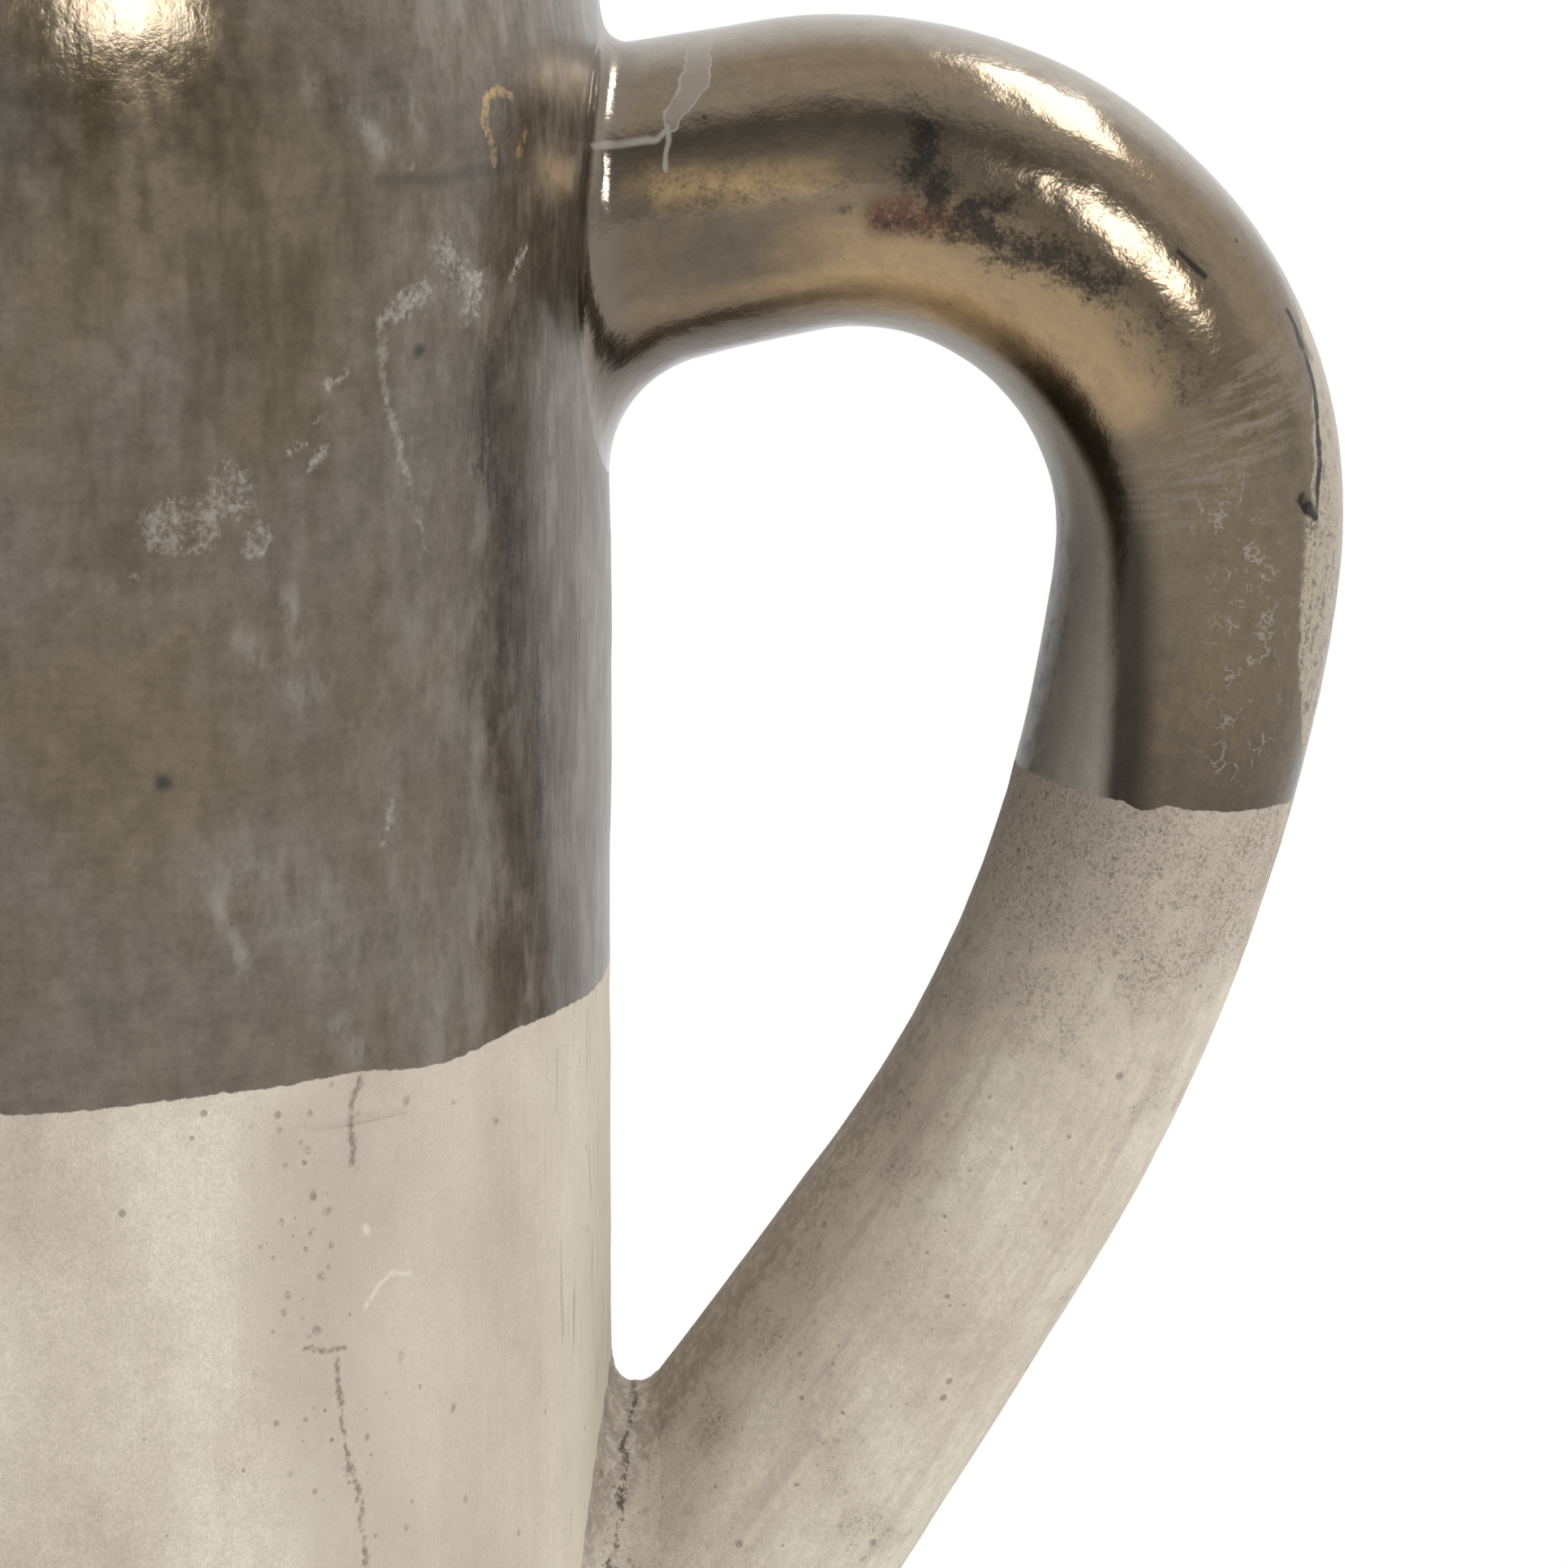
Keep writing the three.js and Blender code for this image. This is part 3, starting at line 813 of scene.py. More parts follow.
def clay_look(f, lay, tints, drawn_out):
    """Bare stoneware: clouds, streaks along the third axis of lay, grain and pores."""
    clouds = f.noise(lay, 18, 3, 0.6, (1, 1, 0.6))
    fibres = f.noise(lay, 5, 3, 0.65, (1, 1, 0.07))
    mottle = f.noise(f.at, 1.5, 3, 0.7)
    grain = f.noise(f.at, 0.3, 1)
    pores = f.dots(4.2, 0.7, 0.6)
    look = Look(f, tints.clay)
    look.lay(tints.clay_cloud, clouds.rises(0.48, 0.7) * 0.65)
    look.lay(tints.clay_cream_and_light, clouds.falls(0.34, 0.5) * 0.6)
    look.lay(tints.clay_cloud, fibres.rises(0.5, 0.7) * drawn_out)
    look.shade(mottle * 0.3 + grain * 0.26 + 0.72)
    look.lay(tints.pore, pores * 0.5)
    look.mottle = mottle
    look.rough = mottle * 0.2 + 0.72
    look.relief = mottle * 0.15 + grain * 0.07 - pores * 0.1
    return look


def wall_clay(f, sheet, tints):
    """Clay of the wall: its seam, cracks and pits, and drag lines where the handle's sides are."""
    look, aside = clay_look(f, f.at, tints, 0.16), sheet.aside
    hatch = f.noise(f.at, 1, 2, 0.65, (1, 1, 0.06))
    sand = f.noise(f.at, 0.6, 3, 0.8)
    crumbly = sand * 0.6 + look.mottle * 0.4
    look.shade((hatch - 0.5) * (aside.falls(20, 52) * 0.3) + (sand * 0.36 + 0.82))

    band = sheet.line(1, 11, SEAM_BAND)
    halo = sheet.line(0, 2.6, SEAM) | sheet.line(0, 2.8, FINE_CRACK)
    look.lay(tints.clay_grey_and_shade, (band | halo) * crumbly.rises(0.3, 0.66) * 0.45)
    look.lay(tints.clay_cloud, aside.rises(18, 36) * aside.falls(46, 60) * 0.5)
    # Painted light: the clay is laid paler towards the wall's right edge, where the light from the
    # right falls on it.
    look.lay(tints.clay_cream_and_light, aside.falls(10, 32) * 0.6)
    slip = sheet.line(0, 0.5, SLIP_TRAIL) | sheet.spot(0.2, 0.9, SLIP_DOT)
    look.lay(tints.clay_cream_and_light, slip * 0.7)

    seam = sheet.line(0, 1.1, SEAM) | sheet.spot(0, 1.6, SEAM_KNOT)
    cracks = sheet.line(0, 0.8, CROSS_CRACK) | sheet.line(0, 0.9, FINE_CRACK)
    cracks = (cracks | sheet.spot(0, 2, CRACK_KNOT)).broken(crumbly, 3.6, 0.8)
    pits = sheet.spot(0, 0.8, *CLAY_DOTS) | f.dots(1.9, 0.9, 0.6) * band
    dashes = hatch.rises(0.6, 0.7) * aside.falls(16, 30)
    dark = seam.broken(crumbly, 2, 0.6) | cracks
    dark = dark | pits * sand.rises(0.3, 0.6) * 0.95 | dashes * 0.6
    look.lay(tints.pore, dark * 0.66)
    return look


def handle_clay(f, lay, shape):
    """Clay of the handle: sandy below the glaze, with painted shade inside the loop, cracked at the
    wall.
    """
    tints = shape.tints
    look = clay_look(f, lay, tints, 0.7)
    outer, _, along = lay.axes()
    off_wall = f.from_axis() - shape.clay.body_radius / MM
    near_glaze = along.falls(108, 148)
    inner = outer.falls(-10, -2) * (off_wall.rises(2, 12) * 0.7 + 0.3)
    dense = f.noise(f.at, 9, 2, 0.6) + (near_glaze * 0.36 + inner * 0.12)
    dense = dense.rises(0.5, 0.86)
    sand = f.noise(f.at, 0.9, 3, 0.85)
    fibres = f.noise(lay, 0.9, 2, 0.65, (1, 1, 0.08))
    crumbly = sand * 0.5 + look.mottle * 0.5
    look.lay(tints.clay_cloud, dense * 0.35)
    # Painted shade: the clay is laid darker inside the loop, and near the glaze line, most on the
    # inside of the loop.
    near_glaze_shade = near_glaze * (outer.falls(-10, 6) * 0.5 + 0.2)
    look.lay(tints.clay_grey_and_shade, near_glaze_shade | inner * 0.4)
    look.shade((sand - 0.5) * (dense * 2.6 + 0.5) + fibres * 0.3 + 0.83)

    specks = f.dots(2, 0.6, 0.5) * 0.8 | f.dots(1.2, 0.8, 0.4) * dense
    specks = specks.broken(sand, 3, 0.7) | sand.rises(0.5, 0.6) * dense
    edge = outer.falls(-15, -10).broken(crumbly, 5, 0.7)
    look.lay(tints.pore, (specks | edge * 0.7) * 0.66)

    seam = abs(off_wall - f.noise(f.at, 5, 3, 0.6) * 4.4).falls(0.05, 0.6)
    seam = seam * (outer.falls(-8, 8) * 0.5 + 0.5)
    crumbs = off_wall.falls(2, 9) * outer.falls(-19, -11) * 0.7
    crumbs = crumbs.broken(crumbly, 5, 0.8)
    look.lay(tints.tarnish_and_shade, (seam.broken(crumbly, 6, 0.9) | crumbs * 0.25) * 0.75)
    return look


def wall_lustre(f, sheet, tints):
    """Cloudy, brushed lustre of the wall, with crusts and runs."""
    at, along, aside = f.at, sheet.along, sheet.aside
    clouds = f.noise(at, 24, 3, 0.6)
    runs = f.noise(at, 7, 3, 0.65, (1, 1, 0.3))
    brush = f.noise(at, 1.1, 2, 0.6, (1, 1, 0.14))
    lines = f.noise(at, 0.8, 2, 0.6, (0.1, 0.1, 1))
    mottle = f.noise(at, 3, 4, 0.65)
    wisps = f.noise(at, 6, 4, 0.7, (1, 1, 0.5))
    grit = f.noise(at, 0.7, 2, 0.75)
    gritty = mottle * 0.4 + grit * 0.6
    side, right = aside.falls(20, 42), aside.falls(30, 56)

    look = Look(f, tints.bronze)
    look.lay(tints.pewter, clouds.rises(0.42, 0.62))
    high = (along.rises(172, 226) * 0.6 + 0.15) * ~right
    smudges = sheet.line(0, 4.5, *OLIVE_SMUDGES) * runs.rises(0.3, 0.6)
    look.lay(tints.olive, runs.rises(0.42, 0.68) * high | smudges)
    look.lay(tints.pewter, (along.falls(146, 162) | right) * 0.6)
    streaks = (brush - 0.5) * (side * 0.9 + 0.15)
    look.shade(mottle * 0.8 + lines * 0.2 + streaks + wisps * 0.3 + grit * 0.4 + 0.09)

    haze = sheet.line(0.2, 2.6, *PALE_STROKES) * 0.5 | sheet.line(1, 9, PALE_CLOUD) * 0.3
    haze = (haze | right * 0.34) * wisps.rises(0.42, 0.7)
    look.lay(tints.crust, haze)
    lobes = reduce(Wire.__or__, (sheet.spot(1.6, reach, lobe) for lobe, reach in CRUST_LOBES))
    runny = sheet.line(0.1, 1.5, CRUST_RUN) | sheet.line(0.1, 1.5, CRUST_RUN_END) * 0.7
    chips = sheet.line(0.5, 3.6, *CRUST_HEADS) | sheet.line(0, 1.3, *CRUST_CHIPS)
    chips = chips | sheet.spot(0.1, 1.3, *CRUST_DOTS)
    crust = (
        (lobes * 0.9).broken(gritty, 4, 1.2)
        | runny.broken(gritty, 2.4, 1)
        | chips.broken(gritty, 3.6, 1)
        | f.dots(15, 0.5, 0.6) * 0.6
    )
    look.lay(tints.crust, crust * 0.62)

    flecks = sheet.line(0.6, 3.4, DARK_FLECKS) | sheet.line(0.4, 3, DARK_STREAKS)
    flecks = (flecks * 0.9).broken(brush * 0.6 + grit * 0.4, 5, 0.7)
    pits = f.dots(15, 0.35, 0.5) | sheet.spot(0.2, 1.3, *WALL_PITS)
    dark = flecks * 0.9 | pits | sheet.line(0.1, 1.3, ARC_SHADOW) * 0.5
    look.lay(tints.tarnish_and_shade, dark * 0.85)
    # Painted highlights: gold glints on the crust.
    look.lay(tints.gold_highlight, sheet.line(0.3, 1.2, *GLINTS).broken(gritty, 3, 0.9))

    look.metal = ~(crust * 0.85 | dark * 0.5 | haze * 0.8)
    rough = mottle * 0.28 + (side * 0.12 + 0.15) - along.rises(233, 246) * 0.12
    look.rough = crust.mix(rough, 0.85)
    look.relief = mottle * 0.08 + brush * 0.025
    return look


def handle_lustre(f, lay, sheet, shape):
    """Polished lustre of the handle, burnt on the arch, crazed and worn on the leg, with painted
    highlights, reflections and shade.
    """
    at, tints, along, turn = f.at, shape.tints, sheet.along, sheet.aside
    clouds = f.noise(lay, 13, 3, 0.6, (1, 1, 0.5))
    mottle = f.noise(at, 2.2, 3, 0.65)
    fine = f.noise(at, 0.45, 2, 0.7)
    drag = f.noise(lay, 1, 2, 0.6, (1, 1, 0.12))
    hoops = f.noise(lay, 0.9, 2, 0.6, (0.12, 0.12, 1))
    dust = mottle * 0.6 + fine * 0.5
    leg = along.rises(66, 84)

    look = Look(f, tints.handle_bronze)
    look.lay(tints.bronze, clouds.rises(0.4, 0.62))
    # Painted reflection: a paler wash under the arch where it shows the floor.
    look.lay(tints.gold_reflection, sheet.line(2, 8.5, GOLD_REFLECTION) * clouds.rises(0.2, 0.56) * 0.9)
    # Painted highlight: a gold band along the root's front.
    band = sheet.line(0, 3.2, GOLD_HIGHLIGHT_BAND) * dust.rises(0.2, 0.62)
    look.lay(tints.gold_highlight, band * along.falls(14, 30))
    look.lay(tints.bloom_and_shade, sheet.line(1, 7, ROOT_SHADE) * 0.5)
    # Painted light: the arch's underside is laid gold over the reflection of the leg.
    under = turn.rises(114, 126) * turn.falls(138, 150)
    under = under * (along.falls(44, 64) * (along.rises(8, 26) * 0.7 + 0.3))
    look.lay(tints.gold_highlight, under * 0.8)
    edge = along + (mottle - 0.5) * 50
    look.lay(tints.bloom_and_shade, edge.rises(90, 114) * 0.85)
    # Painted reflection: the top of the arch is laid grey, as it shows the bright room above.
    top = turn.falls(14, 36) * along.falls(48, 64)
    look.lay(tints.painted_reflection, top * 0.7)

    # Painted reflection inside the loop, grey, with a painted shadow band beside it.
    past = along - REFLECTION_FROM
    past = turn + past * past * REFLECTION_SPREAD
    painted_reflection = past.rises(REFLECTION_TURN - 6, REFLECTION_TURN + 4) * along.rises(20, 44)
    shadow = past.rises(REFLECTION_TURN - 27, REFLECTION_TURN - 12) * past.falls(REFLECTION_TURN - 8, REFLECTION_TURN + 3)
    look.lay(tints.tarnish_and_shade, shadow * (along.rises(34, 66) * 0.62 + 0.16))
    look.lay(tints.painted_reflection, painted_reflection * 0.9)
    # Painted shade in the nook under the upper joint.
    nook_shade = along.falls(10, 40) * turn.rises(112, 142)
    look.lay(tints.bloom_and_shade, nook_shade * 0.85)
    # Painted shade: the leg is laid darker deep inside the loop, broken up by a noise.
    deep = turn.rises(132, 160) * along.rises(68, 94)
    shade_breakup = (drag * 0.4 + mottle * 0.6).rises(0.4, 0.68) * 0.5 + 0.5
    look.lay(tints.tarnish_and_shade, shade_breakup * (deep * 0.7 + painted_reflection * 0.12))
    look.shade(mottle * 0.5 + (fine * 0.4 + drag * 0.24) + 0.41)

    rust = sheet.line(0.4, 3.2, RUST_PATCH) * dust.rises(0.32, 0.56)
    look.lay(tints.rust, rust)
    soot = reduce(Wire.__or__, (sheet.line(0, reach, line) for line, reach in SOOT))
    soot = soot | sheet.spot(0, 2, *SOOT_DOTS) | sheet.line(0, 2.2, RUST_SMEAR) * 0.6
    smoke = sheet.line(0, 9, *SMOKE)
    burn = (smoke * 0.6 + soot * 0.75 + dust * 4).rises(2.35, 3.75)
    burn = burn * (smoke | soot).rises(0, 0.6) | sheet.line(0.15, 0.6, SOOT_LINE)
    look.lay(tints.tarnish_and_shade, burn * 0.94)

    drip_way = sheet.off(DRIP) + (f.noise(at, 2.4, 2, 0.6) - 0.5) * 2
    drip_way = drip_way + turn.rises(34, 56) * 0.7
    drip = drip_way.falls(1.75, 1.95)
    rim = drip * drip_way.rises(1.2, 1.7)
    tails = sheet.line(0.15, 0.6, *DRIP_TAILS)
    warped = at.vector("ADD", f.scaled(f.noise(at, 1.3, 2, kind="Color"), 2.2))
    feeds = {"Vector": warped, "Scale": 1 / CRAZE_SIZE}
    craze = f.wire("TexVoronoi", "Distance", feeds, feature="DISTANCE_TO_EDGE").falls(0.02, 0.08)
    craze = craze * sheet.line(1, 6.5, CRAZE_PATCH) * mottle.rises(0.5, 0.57)
    haze = sheet.line(0.5, 8, LEG_HAZE) * (hoops + fine * 0.3).rises(0.58, 0.84)
    crust = drip * 0.5 | rim | tails | craze * 0.7 | haze * 0.35
    worn = along - WORN_AT
    worn = WORN_TURN - worn * worn * WORN_SPREAD - turn
    worn = worn - sheet.degrees.falls(-8, 2) * WORN_FAR_SIDE
    worn = worn.rises(-5, 4).broken(mottle, 2)
    look.lay(tints.worn, worn * 0.75)
    look.lay(tints.crust, crust * 0.62)

    flecks = (worn | turn.rises(156, 168)) * (dust + drag * 0.3).rises(0.7, 0.84)
    crack = sheet.line(0.1, 0.9, LIP_CRACK) | sheet.line(0.3, 1.5, LIP_CHIP)
    dark = crack.broken(mottle, 1.6) | (f.dots(6, 0.35, 0.45) | flecks * leg) * 0.65
    look.lay(tints.tarnish_and_shade, dark)
    dull = crust * 0.8 | burn * 0.2 | rust * 0.3 | worn * 0.5 | painted_reflection * 0.6 | top * 0.3
    look.metal = ~dull
    look.rough = dull.mix(mottle * 0.13 + (leg * 0.12 + 0.1) + under * 0.2, 0.6)
    look.relief = f.noise(at, 6, 1) * 0.16 + mottle * 0.09
    return look


def over_clay(f, glazed, lustre, clay):
    """The lustre where it is glazed, and bare clay below its edge."""
    look = Look(f, glazed.blend(clay.colour, lustre.colour))
    look.rough = glazed.mix(clay.rough, lustre.rough)
    look.relief = glazed.mix(clay.relief, lustre.relief)
    look.metal = glazed * lustre.metal
    f.set(Coat_Weight=glazed * COAT_GLOSS, Coat_Roughness=COAT_ROUGHNESS)
    return f.surface(look)


def wall_clay_finish(name, shape):
    f = Finish(name)
    return f.surface(wall_clay(f, Sheet(f, f.at, shape.clay.body_radius / MM), shape.tints))


def handle_clay_finish(name, shape):
    f = Finish(name)
    return f.surface(handle_clay(f, f.straightened(), shape))


def wall_lustre_finish(shape):
    f = Finish("bronze_lustre_wall")
    sheet = Sheet(f, f.at, shape.clay.body_radius / MM)
    ragged = f.noise(f.at, 30, 1) * 2.4 + f.noise(f.at, 1.6, 2, 0.6) * 0.7
    dip = sheet.spot(0, 14, EDGE_DIP) * 1.2
    line = ragged + (shape.glaze.line_z / MM - 1.2) - dip
    glazed = (sheet.along - line).rises(-0.1, 0.1)
    lustre, clay = wall_lustre(f, sheet, shape.tints), wall_clay(f, sheet, shape.tints)
    return over_clay(f, glazed, lustre, clay)


def handle_lustre_finish(shape):
    f = Finish("bronze_lustre_handle")
    lay = f.straightened()
    sheet = Sheet(f, lay, shape.ear.waist_radius / MM)
    outer = lay.axes()[0]
    notch = abs(outer + 1.6).falls(0, 2.6)
    ragged = f.noise(f.at, 1.4, 2, 0.6) * 0.7 + f.noise(f.at, 7, 1)
    line = ragged + (shape.glaze.handle_line / MM - 0.85) + outer * -0.13
    glazed = (line + notch - sheet.along).rises(-0.08, 0.08)
    lustre = handle_lustre(f, lay, sheet, shape)
    body = shape.clay.body_radius / MM
    lustre.lay(shape.tints.pewter, f.from_axis().falls(body + 1.5, body + 5) * 0.7)
    return over_clay(f, glazed, lustre, handle_clay(f, lay, shape))


def liner_finish(tints):
    f = Finish("liner_glaze")
    runs = f.noise(f.at, 6, 3, 0.6, (1, 1, 0.2)).rises(0.45, 0.7)
    mottle = f.noise(f.at, 3, 4, 0.6)
    pins = f.dots(5, 0.4, 0.35)
    look = Look(f, tints.liner)
    look.lay(tints.olive, runs * 0.6)
    look.shade(mottle * 0.5 + 0.75)
    look.lay(tints.tarnish_and_shade, pins)
    look.rough = mottle * 0.2 + 0.15
    look.relief = mottle * 0.05 - pins * 0.1
    return f.surface(look)


def floor_finish():
    """White sweep that takes the jug's shadow near it and shows plain white farther off."""
    f = Finish("studio_floor")
    away = f.from_axis()
    paper = f.noise(f.at, 3, 2).blend((0.8, 0.8, 0.8), (0.84, 0.84, 0.84))
    f.set(Base_Color=paper, Roughness=0.9)
    shown = away.rises(130, 260) * (f.ray("Camera") | f.ray("Transmission"))
    mirrored = away.rises(60, 150) * f.ray("Glossy")
    white = f.wire("Emission", 0, {"Strength": 1})
    mixed = f.wire("MixShader", 0, {0: shown | mirrored, 1: f.bare, 2: white})
    f.feed(f.output.inputs["Surface"], mixed)
    return f.material


class JugOperator:
    bl_options = {"REGISTER", "UNDO"}


class JUG_OT_clay_body(JugOperator, Operator):
    """Turn the clay wall and base"""

    bl_idname = "jug.clay_body"
    bl_label = "Clay Body"

    def execute(self, context):
        shape = JugShape(context.scene)
        clay = shape.clay
        inner = clay.body_radius - clay.wall
        heel = (clay.body_radius - clay.heel_radius, clay.heel_radius)
        bare = span(clay.floor, shape.glaze.line_z + WALL_ROW, WALL_ROW)
        glazed = span(bare[-1], clay.shoulder_z, HIDDEN_ROWS * WALL_ROW)[1:-1]
        turn, radius = clay.shoulder_turn, clay.shoulder_radius
        outline = [
            (0, 0),
            (heel[0] / 2, 0),
            (heel[0] - clay.heel_radius, 0),
            *arc(heel, clay.heel_radius, -pi / 2, 0, 4),
            *((clay.body_radius, z) for z in bare + glazed),
            *arc(shape.shoulder_centre, radius, 0, turn, 5),
            *arc(shape.shoulder_centre, radius - clay.wall, turn, 0, 5),
            *((inner, z) for z in span(clay.shoulder_z, clay.floor, INSIDE_ROWS * WALL_ROW)[1:]),
            (inner / 2, clay.floor),
            (0, clay.floor),
        ]
        piece = turned("clay_body", outline)
        worked(piece, still_below=STILL_FOOT)
        finish = wall_clay_finish("bare_clay_wall", shape)
        finished(piece, finish, "clay", "body_wall", "base_disc")
        return {"FINISHED"}


class JUG_OT_handle(JugOperator, Operator):
    """Pull the clay handle from joint to joint"""

    bl_idname = "jug.handle"
    bl_label = "Handle"

    def execute(self, context):
        shape = JugShape(context.scene)
        upper, lower = shape.upper_joint(), shape.lower_joint()
        rings = [upper.ring(lambda fillet, power: (-HANDLE_SINK, 0))]
        rings += [shape.ring(s, 0) for s in span(shape.ear.run, lower.clear, HANDLE_ROW)]
        ends = [lower.stand_off(turn, 0, -HANDLE_SINK) for turn in TURNS_ROUND]
        count = ceil((max(ends) - lower.clear) / (1.4 * HANDLE_ROW))
        for i in range(1, count + 1):
            stops = [lower.clear + (end - lower.clear) * i / count for end in ends]
            rings.append([shape.skin(s, turn, 0) for s, turn in zip(stops, TURNS_ROUND)])
        piece = drawn("clay_handle", rings, shell=False)
        worked(piece)
        finish = handle_clay_finish("bare_clay_handle", shape)
        finished(piece, finish, "clay", "handle")
        return {"FINISHED"}


class JUG_OT_lower_joint(JugOperator, Operator):
    """Work crumbly clay round the handle's lower joint"""

    bl_idname = "jug.lower_joint"
    bl_label = "Lower Joint"

    def execute(self, context):
        shape = JugShape(context.scene)
        joint = shape.lower_joint()
        rings = joint.fillet_rings(JOINT_LIFT)
        for share, off, out in ((1, 1.5, -0.3), (1, 3, -1.2), (0.5, 0, -2.4), (0, -1.5, -2)):
            rings.append(joint.ring(lambda fillet, power: (fillet * share + off * MM, out * MM)))
        piece = drawn("worked_clay_lower_joint", rings, shell=True)
        worked(piece, CRUMBS)
        finish = handle_clay_finish("worked_clay", shape)
        finished(piece, finish, "clay", "lower_joint_clay")
        return {"FINISHED"}


class JUG_OT_wall_lustre(JugOperator, Operator):
    """Coat the wall, shoulder and neck with lustre"""

    bl_idname = "jug.wall_lustre"
    bl_label = "Wall Lustre"

    def execute(self, context):
        shape = JugShape(context.scene)
        clay, glaze = shape.clay, shape.glaze
        foot = glaze.line_z - WALL_EDGE_RUN
        turn, flare = clay.shoulder_turn, clay.rim_flare

        def lift(z):
            edge = ease(z, foot, glaze.line_z - 1.5 * MM)
            neck = ease(z, clay.shoulder_z + 8 * MM, shape.neck_foot)
            wall = (glaze.coat + EDGE_SINK) * edge - EDGE_SINK
            return wall + (glaze.neck_coat - glaze.coat) * neck

        def side(coat, start, row, steps):
            """The wall and shoulder under a coat whose height depends on where it is."""
            upright = span(start, clay.shoulder_z, row)[:-1]
            points = [Vector((clay.body_radius + coat(z), z)) for z in upright]
            for a in (turn * i / steps for i in range(steps + 1)):
                z = clay.shoulder_z + clay.shoulder_radius * sin(a)
                points.append(polar(shape.shoulder_centre, clay.shoulder_radius + coat(z), a))
            return points

        def neck(coat, steps):
            hollow, outer = clay.neck_hollow - coat, clay.neck_hollow + clay.wall + coat
            return [
                *arc(shape.neck_centre, hollow, pi + turn, pi - flare, steps)[1:],
                *arc(shape.rim_centre, clay.wall / 2 + coat, -flare, pi - flare, steps + 1)[1:],
                *arc(shape.neck_centre, outer, pi - flare, pi + turn, steps)[1:],
            ]

        outside = side(lift, foot, 1.15 * WALL_ROW, 8) + neck(glaze.neck_coat, 5)
        inside = side(lambda z: -WALL_COAT_SINK, foot + MM, HIDDEN_ROWS * WALL_ROW, 4)[:-1]
        inside += neck(LINING_GAP, 3)
        piece = turned("lustre_wall", [*outside, *reversed(inside), outside[0]])
        for vert in piece.data.vertices:
            vert.co = shape.lip(vert.co)
        worked(piece)
        finished(piece, wall_lustre_finish(shape), "lustre", "lustre_coat_body")
        return {"FINISHED"}


class JUG_OT_handle_lustre(JugOperator, Operator):
    """Coat the handle's arch and its upper joint with lustre"""

    bl_idname = "jug.handle_lustre"
    bl_label = "Handle Lustre"

    def execute(self, context):
        shape = JugShape(context.scene)
        glaze, run = shape.glaze, shape.ear.run
        joint = shape.upper_joint()
        end = glaze.handle_line + HANDLE_EDGE_RUN

        def lift(s):
            return glaze.coat - (glaze.coat + EDGE_SINK) * ease(s, glaze.handle_line + 2 * MM, end)

        hidden = span(end - MM, run, HIDDEN_ROWS * HANDLE_ROW)
        rings = joint.fillet_rings(glaze.coat)
        rings += [shape.ring(s, lift(s)) for s in span(run + 2 * MM, end, HANDLE_ROW)]
        rings.append(shape.ring(end + 0.5 * MM, -0.4 * MM))
        rings += [shape.ring(s, -HANDLE_COAT_SINK) for s in hidden]
        rings.append(joint.ring(lambda fillet, power: (-MM, -HANDLE_COAT_SINK)))
        piece = drawn("lustre_handle", rings, shell=True)
        worked(piece)
        finish = handle_lustre_finish(shape)
        finished(piece, finish, "lustre", "lustre_coat_handle", "upper_joint_clay")
        return {"FINISHED"}


class JUG_OT_liner(JugOperator, Operator):
    """Glaze the inside"""

    bl_idname = "jug.liner"
    bl_label = "Liner"

    def execute(self, context):
        shape = JugShape(context.scene)
        clay = shape.clay
        inner = clay.body_radius - clay.wall
        cove = (inner - clay.floor_cove, clay.floor + clay.floor_cove)
        upright = span(cove[1], clay.shoulder_z, LINER_ROWS * WALL_ROW)[1:-1]

        def side(coat, steps=4):
            radius = clay.shoulder_radius - clay.wall - coat
            return [
                Vector((0, clay.floor + coat)),
                Vector((cove[0] / 2, clay.floor + coat)),
                *arc(cove, clay.floor_cove - coat, -pi / 2, 0, steps),
                *(Vector((inner - coat, z)) for z in upright),
                *arc(shape.shoulder_centre, radius, 0, clay.shoulder_turn, steps),
            ]

        piece = turned("liner", [*side(LINING_GAP), *reversed(side(shape.glaze.liner))])
        subdivided(piece)
        finished(piece, liner_finish(shape.tints), "liner", "liner_glaze")
        return {"FINISHED"}


class JUG_OT_inner_clay(JugOperator, Operator):
    """Give the clay that lies under the glazes its finish"""

    bl_idname = "jug.inner_clay"
    bl_label = "Clay Under the Glaze"

    def execute(self, context):
        finish = wall_clay_finish("bare_clay_under_glaze", JugShape(context.scene))
        for name in ("neck_collar", "floor_coil"):
            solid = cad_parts[name]
            if not solid.material_slots:
                solid.data.materials.append(finish)
            for slot in solid.material_slots:
                slot.material = finish
        return {"FINISHED"}


def lamp(name, towards, distance, power, width, height):
    place = LAMP_AIM + Vector(towards).normalized() * distance
    bpy.ops.object.light_add(type="AREA", location=place)
    made = bpy.context.object
    made.name = made.data.name = name
    made.rotation_euler = (place - LAMP_AIM).to_track_quat("Z", "Y").to_euler()
    made.data.shape = "RECTANGLE"
    made.data.size, made.data.size_y = width, height
    made.data.energy = power


def world_light(stage):
    """A white sweep behind the jug, and a dim room in front of it that is brighter low down."""
    world = bpy.data.worlds.new("studio")
    bpy.context.scene.world = world
    nodes = Nodes(world)
    _, away, up = nodes.wire("TexCoord", "Generated").axes()
    level = (up * 0.55 + away).rises(-0.25, 0.2) * (stage.back - stage.front) + stage.front
    level = level + up.falls(0.18, 0.95) * stage.horizon * away.falls(-0.35, 0)
    strength = nodes.ray("Camera").mix(level, 1)
    light = nodes.wire("Background", 0, {"Color": (1, 1, 1), "Strength": strength})
    nodes.add("OutputWorld", {"Surface": light})


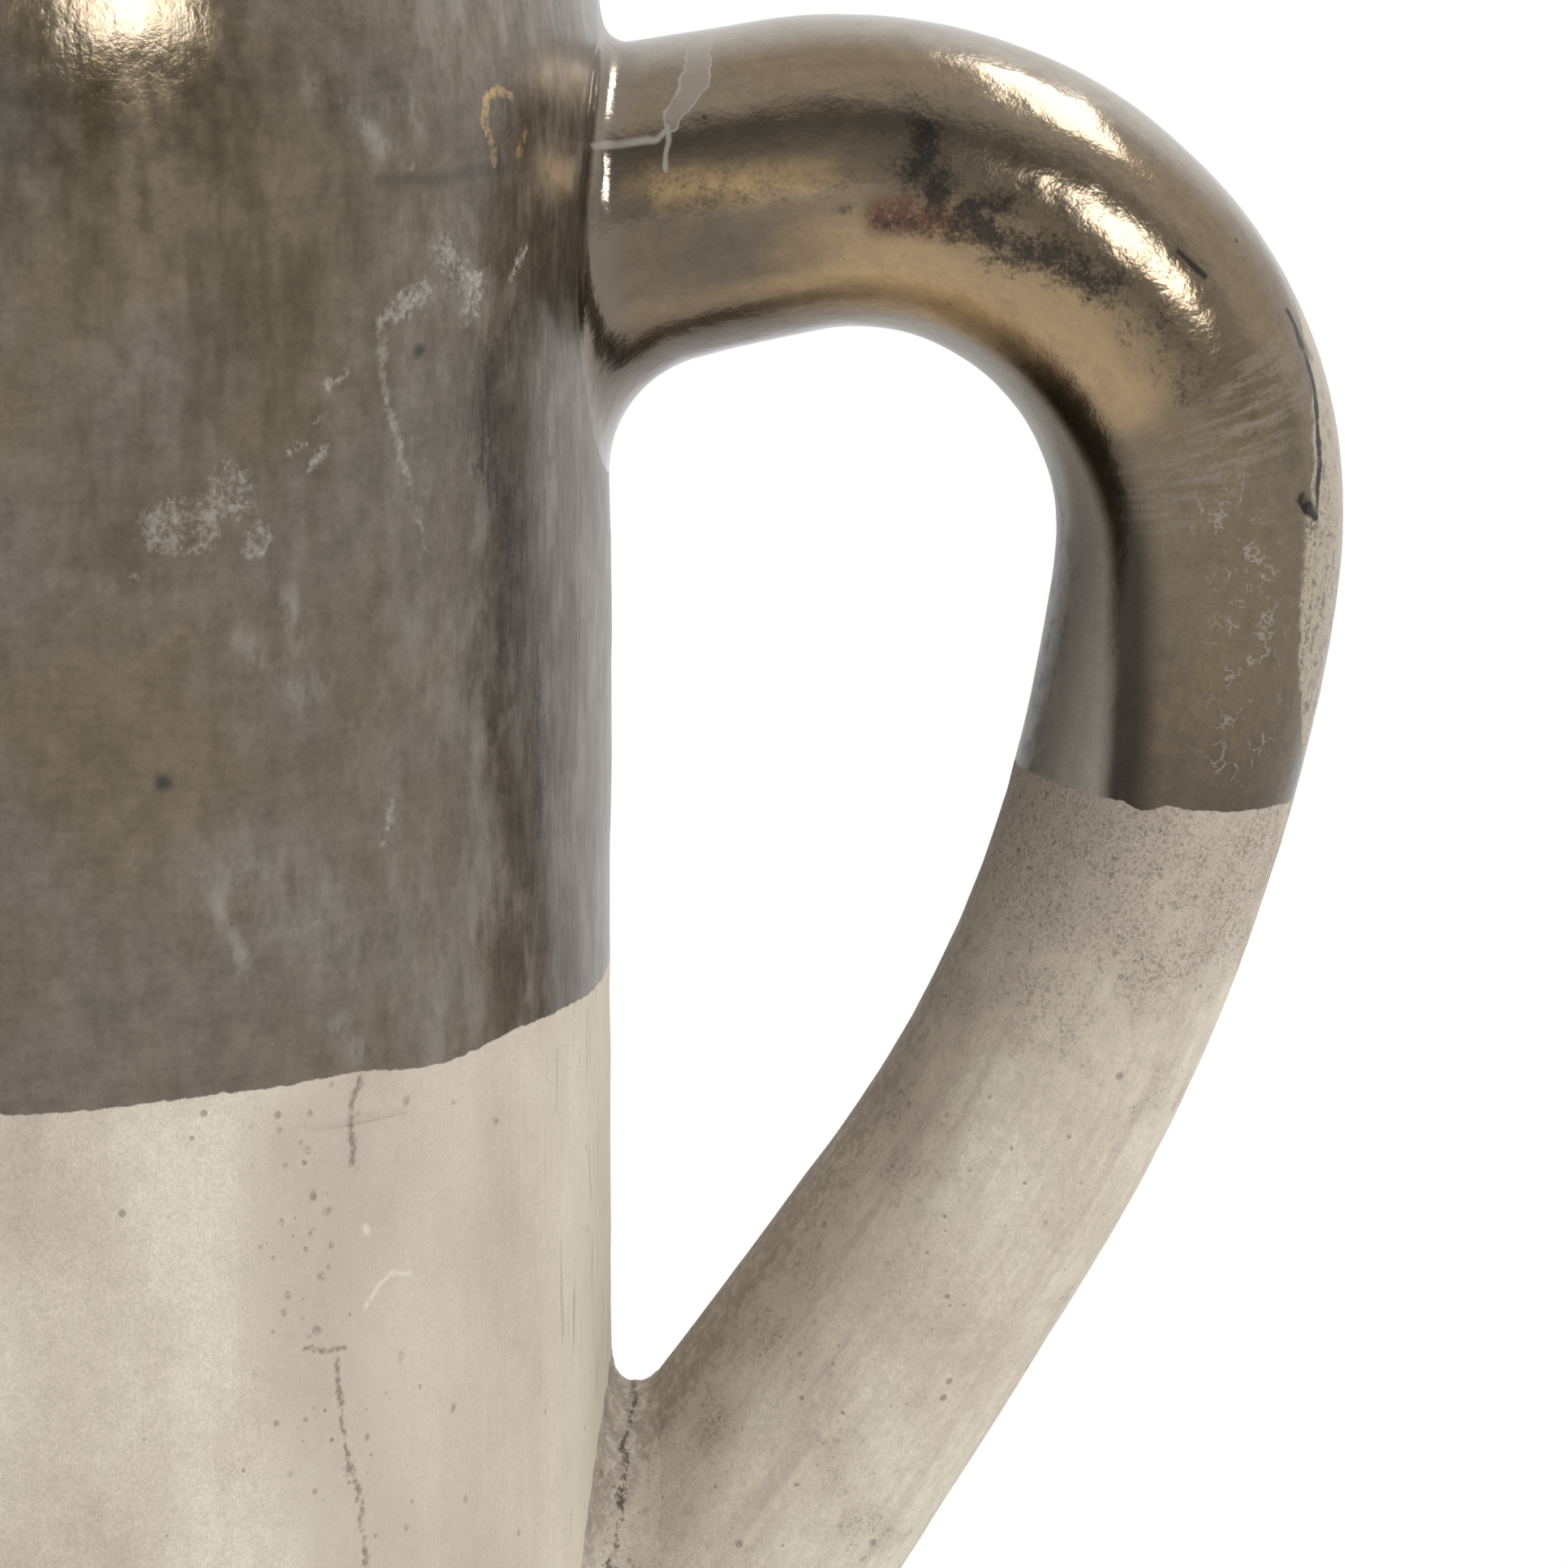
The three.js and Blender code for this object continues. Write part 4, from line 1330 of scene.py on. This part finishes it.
class JUG_OT_stage(JugOperator, Operator):
    """Set up the floor, the lamps and the camera"""

    bl_idname = "jug.stage"
    bl_label = "Stage"

    def execute(self, context):
        scene = context.scene
        stage = scene.jug_stage
        scene.view_settings.view_transform = "Standard"
        bpy.ops.object.select_all(action="DESELECT")
        bpy.ops.mesh.primitive_plane_add(size=FLOOR_SIZE)
        floor = context.object
        floor.name = floor.data.name = "floor"
        floor.data.materials.append(floor_finish())
        world_light(stage)
        for name, towards, distance, width, height in LAMPS:
            lamp(name + "_lamp", towards, distance, getattr(stage, name), width, height)
        tilt = stage.elevation
        place = Vector(stage.target) + Vector((0, -cos(tilt), sin(tilt))) * stage.distance
        bpy.ops.object.camera_add(location=place, rotation=(pi / 2 - tilt, 0, 0))
        camera = context.object
        camera.name = camera.data.name = "camera"
        camera.data.sensor_width = SENSOR_WIDTH
        camera.data.lens = stage.lens
        scene.camera = camera
        return {"FINISHED"}


class JUG_PT_panel(Panel):
    """Lists the steps and the sizes of the jug"""

    bl_idname = "JUG_PT_panel"
    bl_label = "Ceramic Jug"
    bl_space_type = "VIEW_3D"
    bl_region_type = "UI"
    bl_category = "Jug"

    def draw(self, context):
        column = self.layout.column()
        for step in STEPS:
            column.operator(step.bl_idname)
        for group in (name for name, _ in GROUPS):
            box = self.layout.box()
            settings = getattr(context.scene, group)
            box.label(text=settings.bl_rna.description)
            for name in settings.__annotations__:
                box.prop(settings, name)


GROUPS = [
    ("jug_clay", JugClaySizes),
    ("jug_handle", JugHandleSizes),
    ("jug_glaze", JugGlazeSizes),
    ("jug_tints", JugTints),
    ("jug_stage", JugStage),
]
STEPS = [
    JUG_OT_clay_body,
    JUG_OT_handle,
    JUG_OT_lower_joint,
    JUG_OT_wall_lustre,
    JUG_OT_handle_lustre,
    JUG_OT_liner,
    JUG_OT_inner_clay,
    JUG_OT_stage,
]


def register():
    for name, group in GROUPS:
        bpy.utils.register_class(group)
        setattr(bpy.types.Scene, name, PointerProperty(type=group))
    for step in [*STEPS, JUG_PT_panel]:
        bpy.utils.register_class(step)


def unregister():
    for step in reversed([*STEPS, JUG_PT_panel]):
        bpy.utils.unregister_class(step)
    for name, group in reversed(GROUPS):
        delattr(bpy.types.Scene, name)
        bpy.utils.unregister_class(group)


def main():
    register()
    bpy.ops.jug.clay_body()
    bpy.ops.jug.handle()
    bpy.ops.jug.lower_joint()
    bpy.ops.jug.wall_lustre()
    bpy.ops.jug.handle_lustre()
    bpy.ops.jug.liner()
    bpy.ops.jug.inner_clay()
    bpy.ops.jug.stage()


if __name__ == "__main__":
    main()
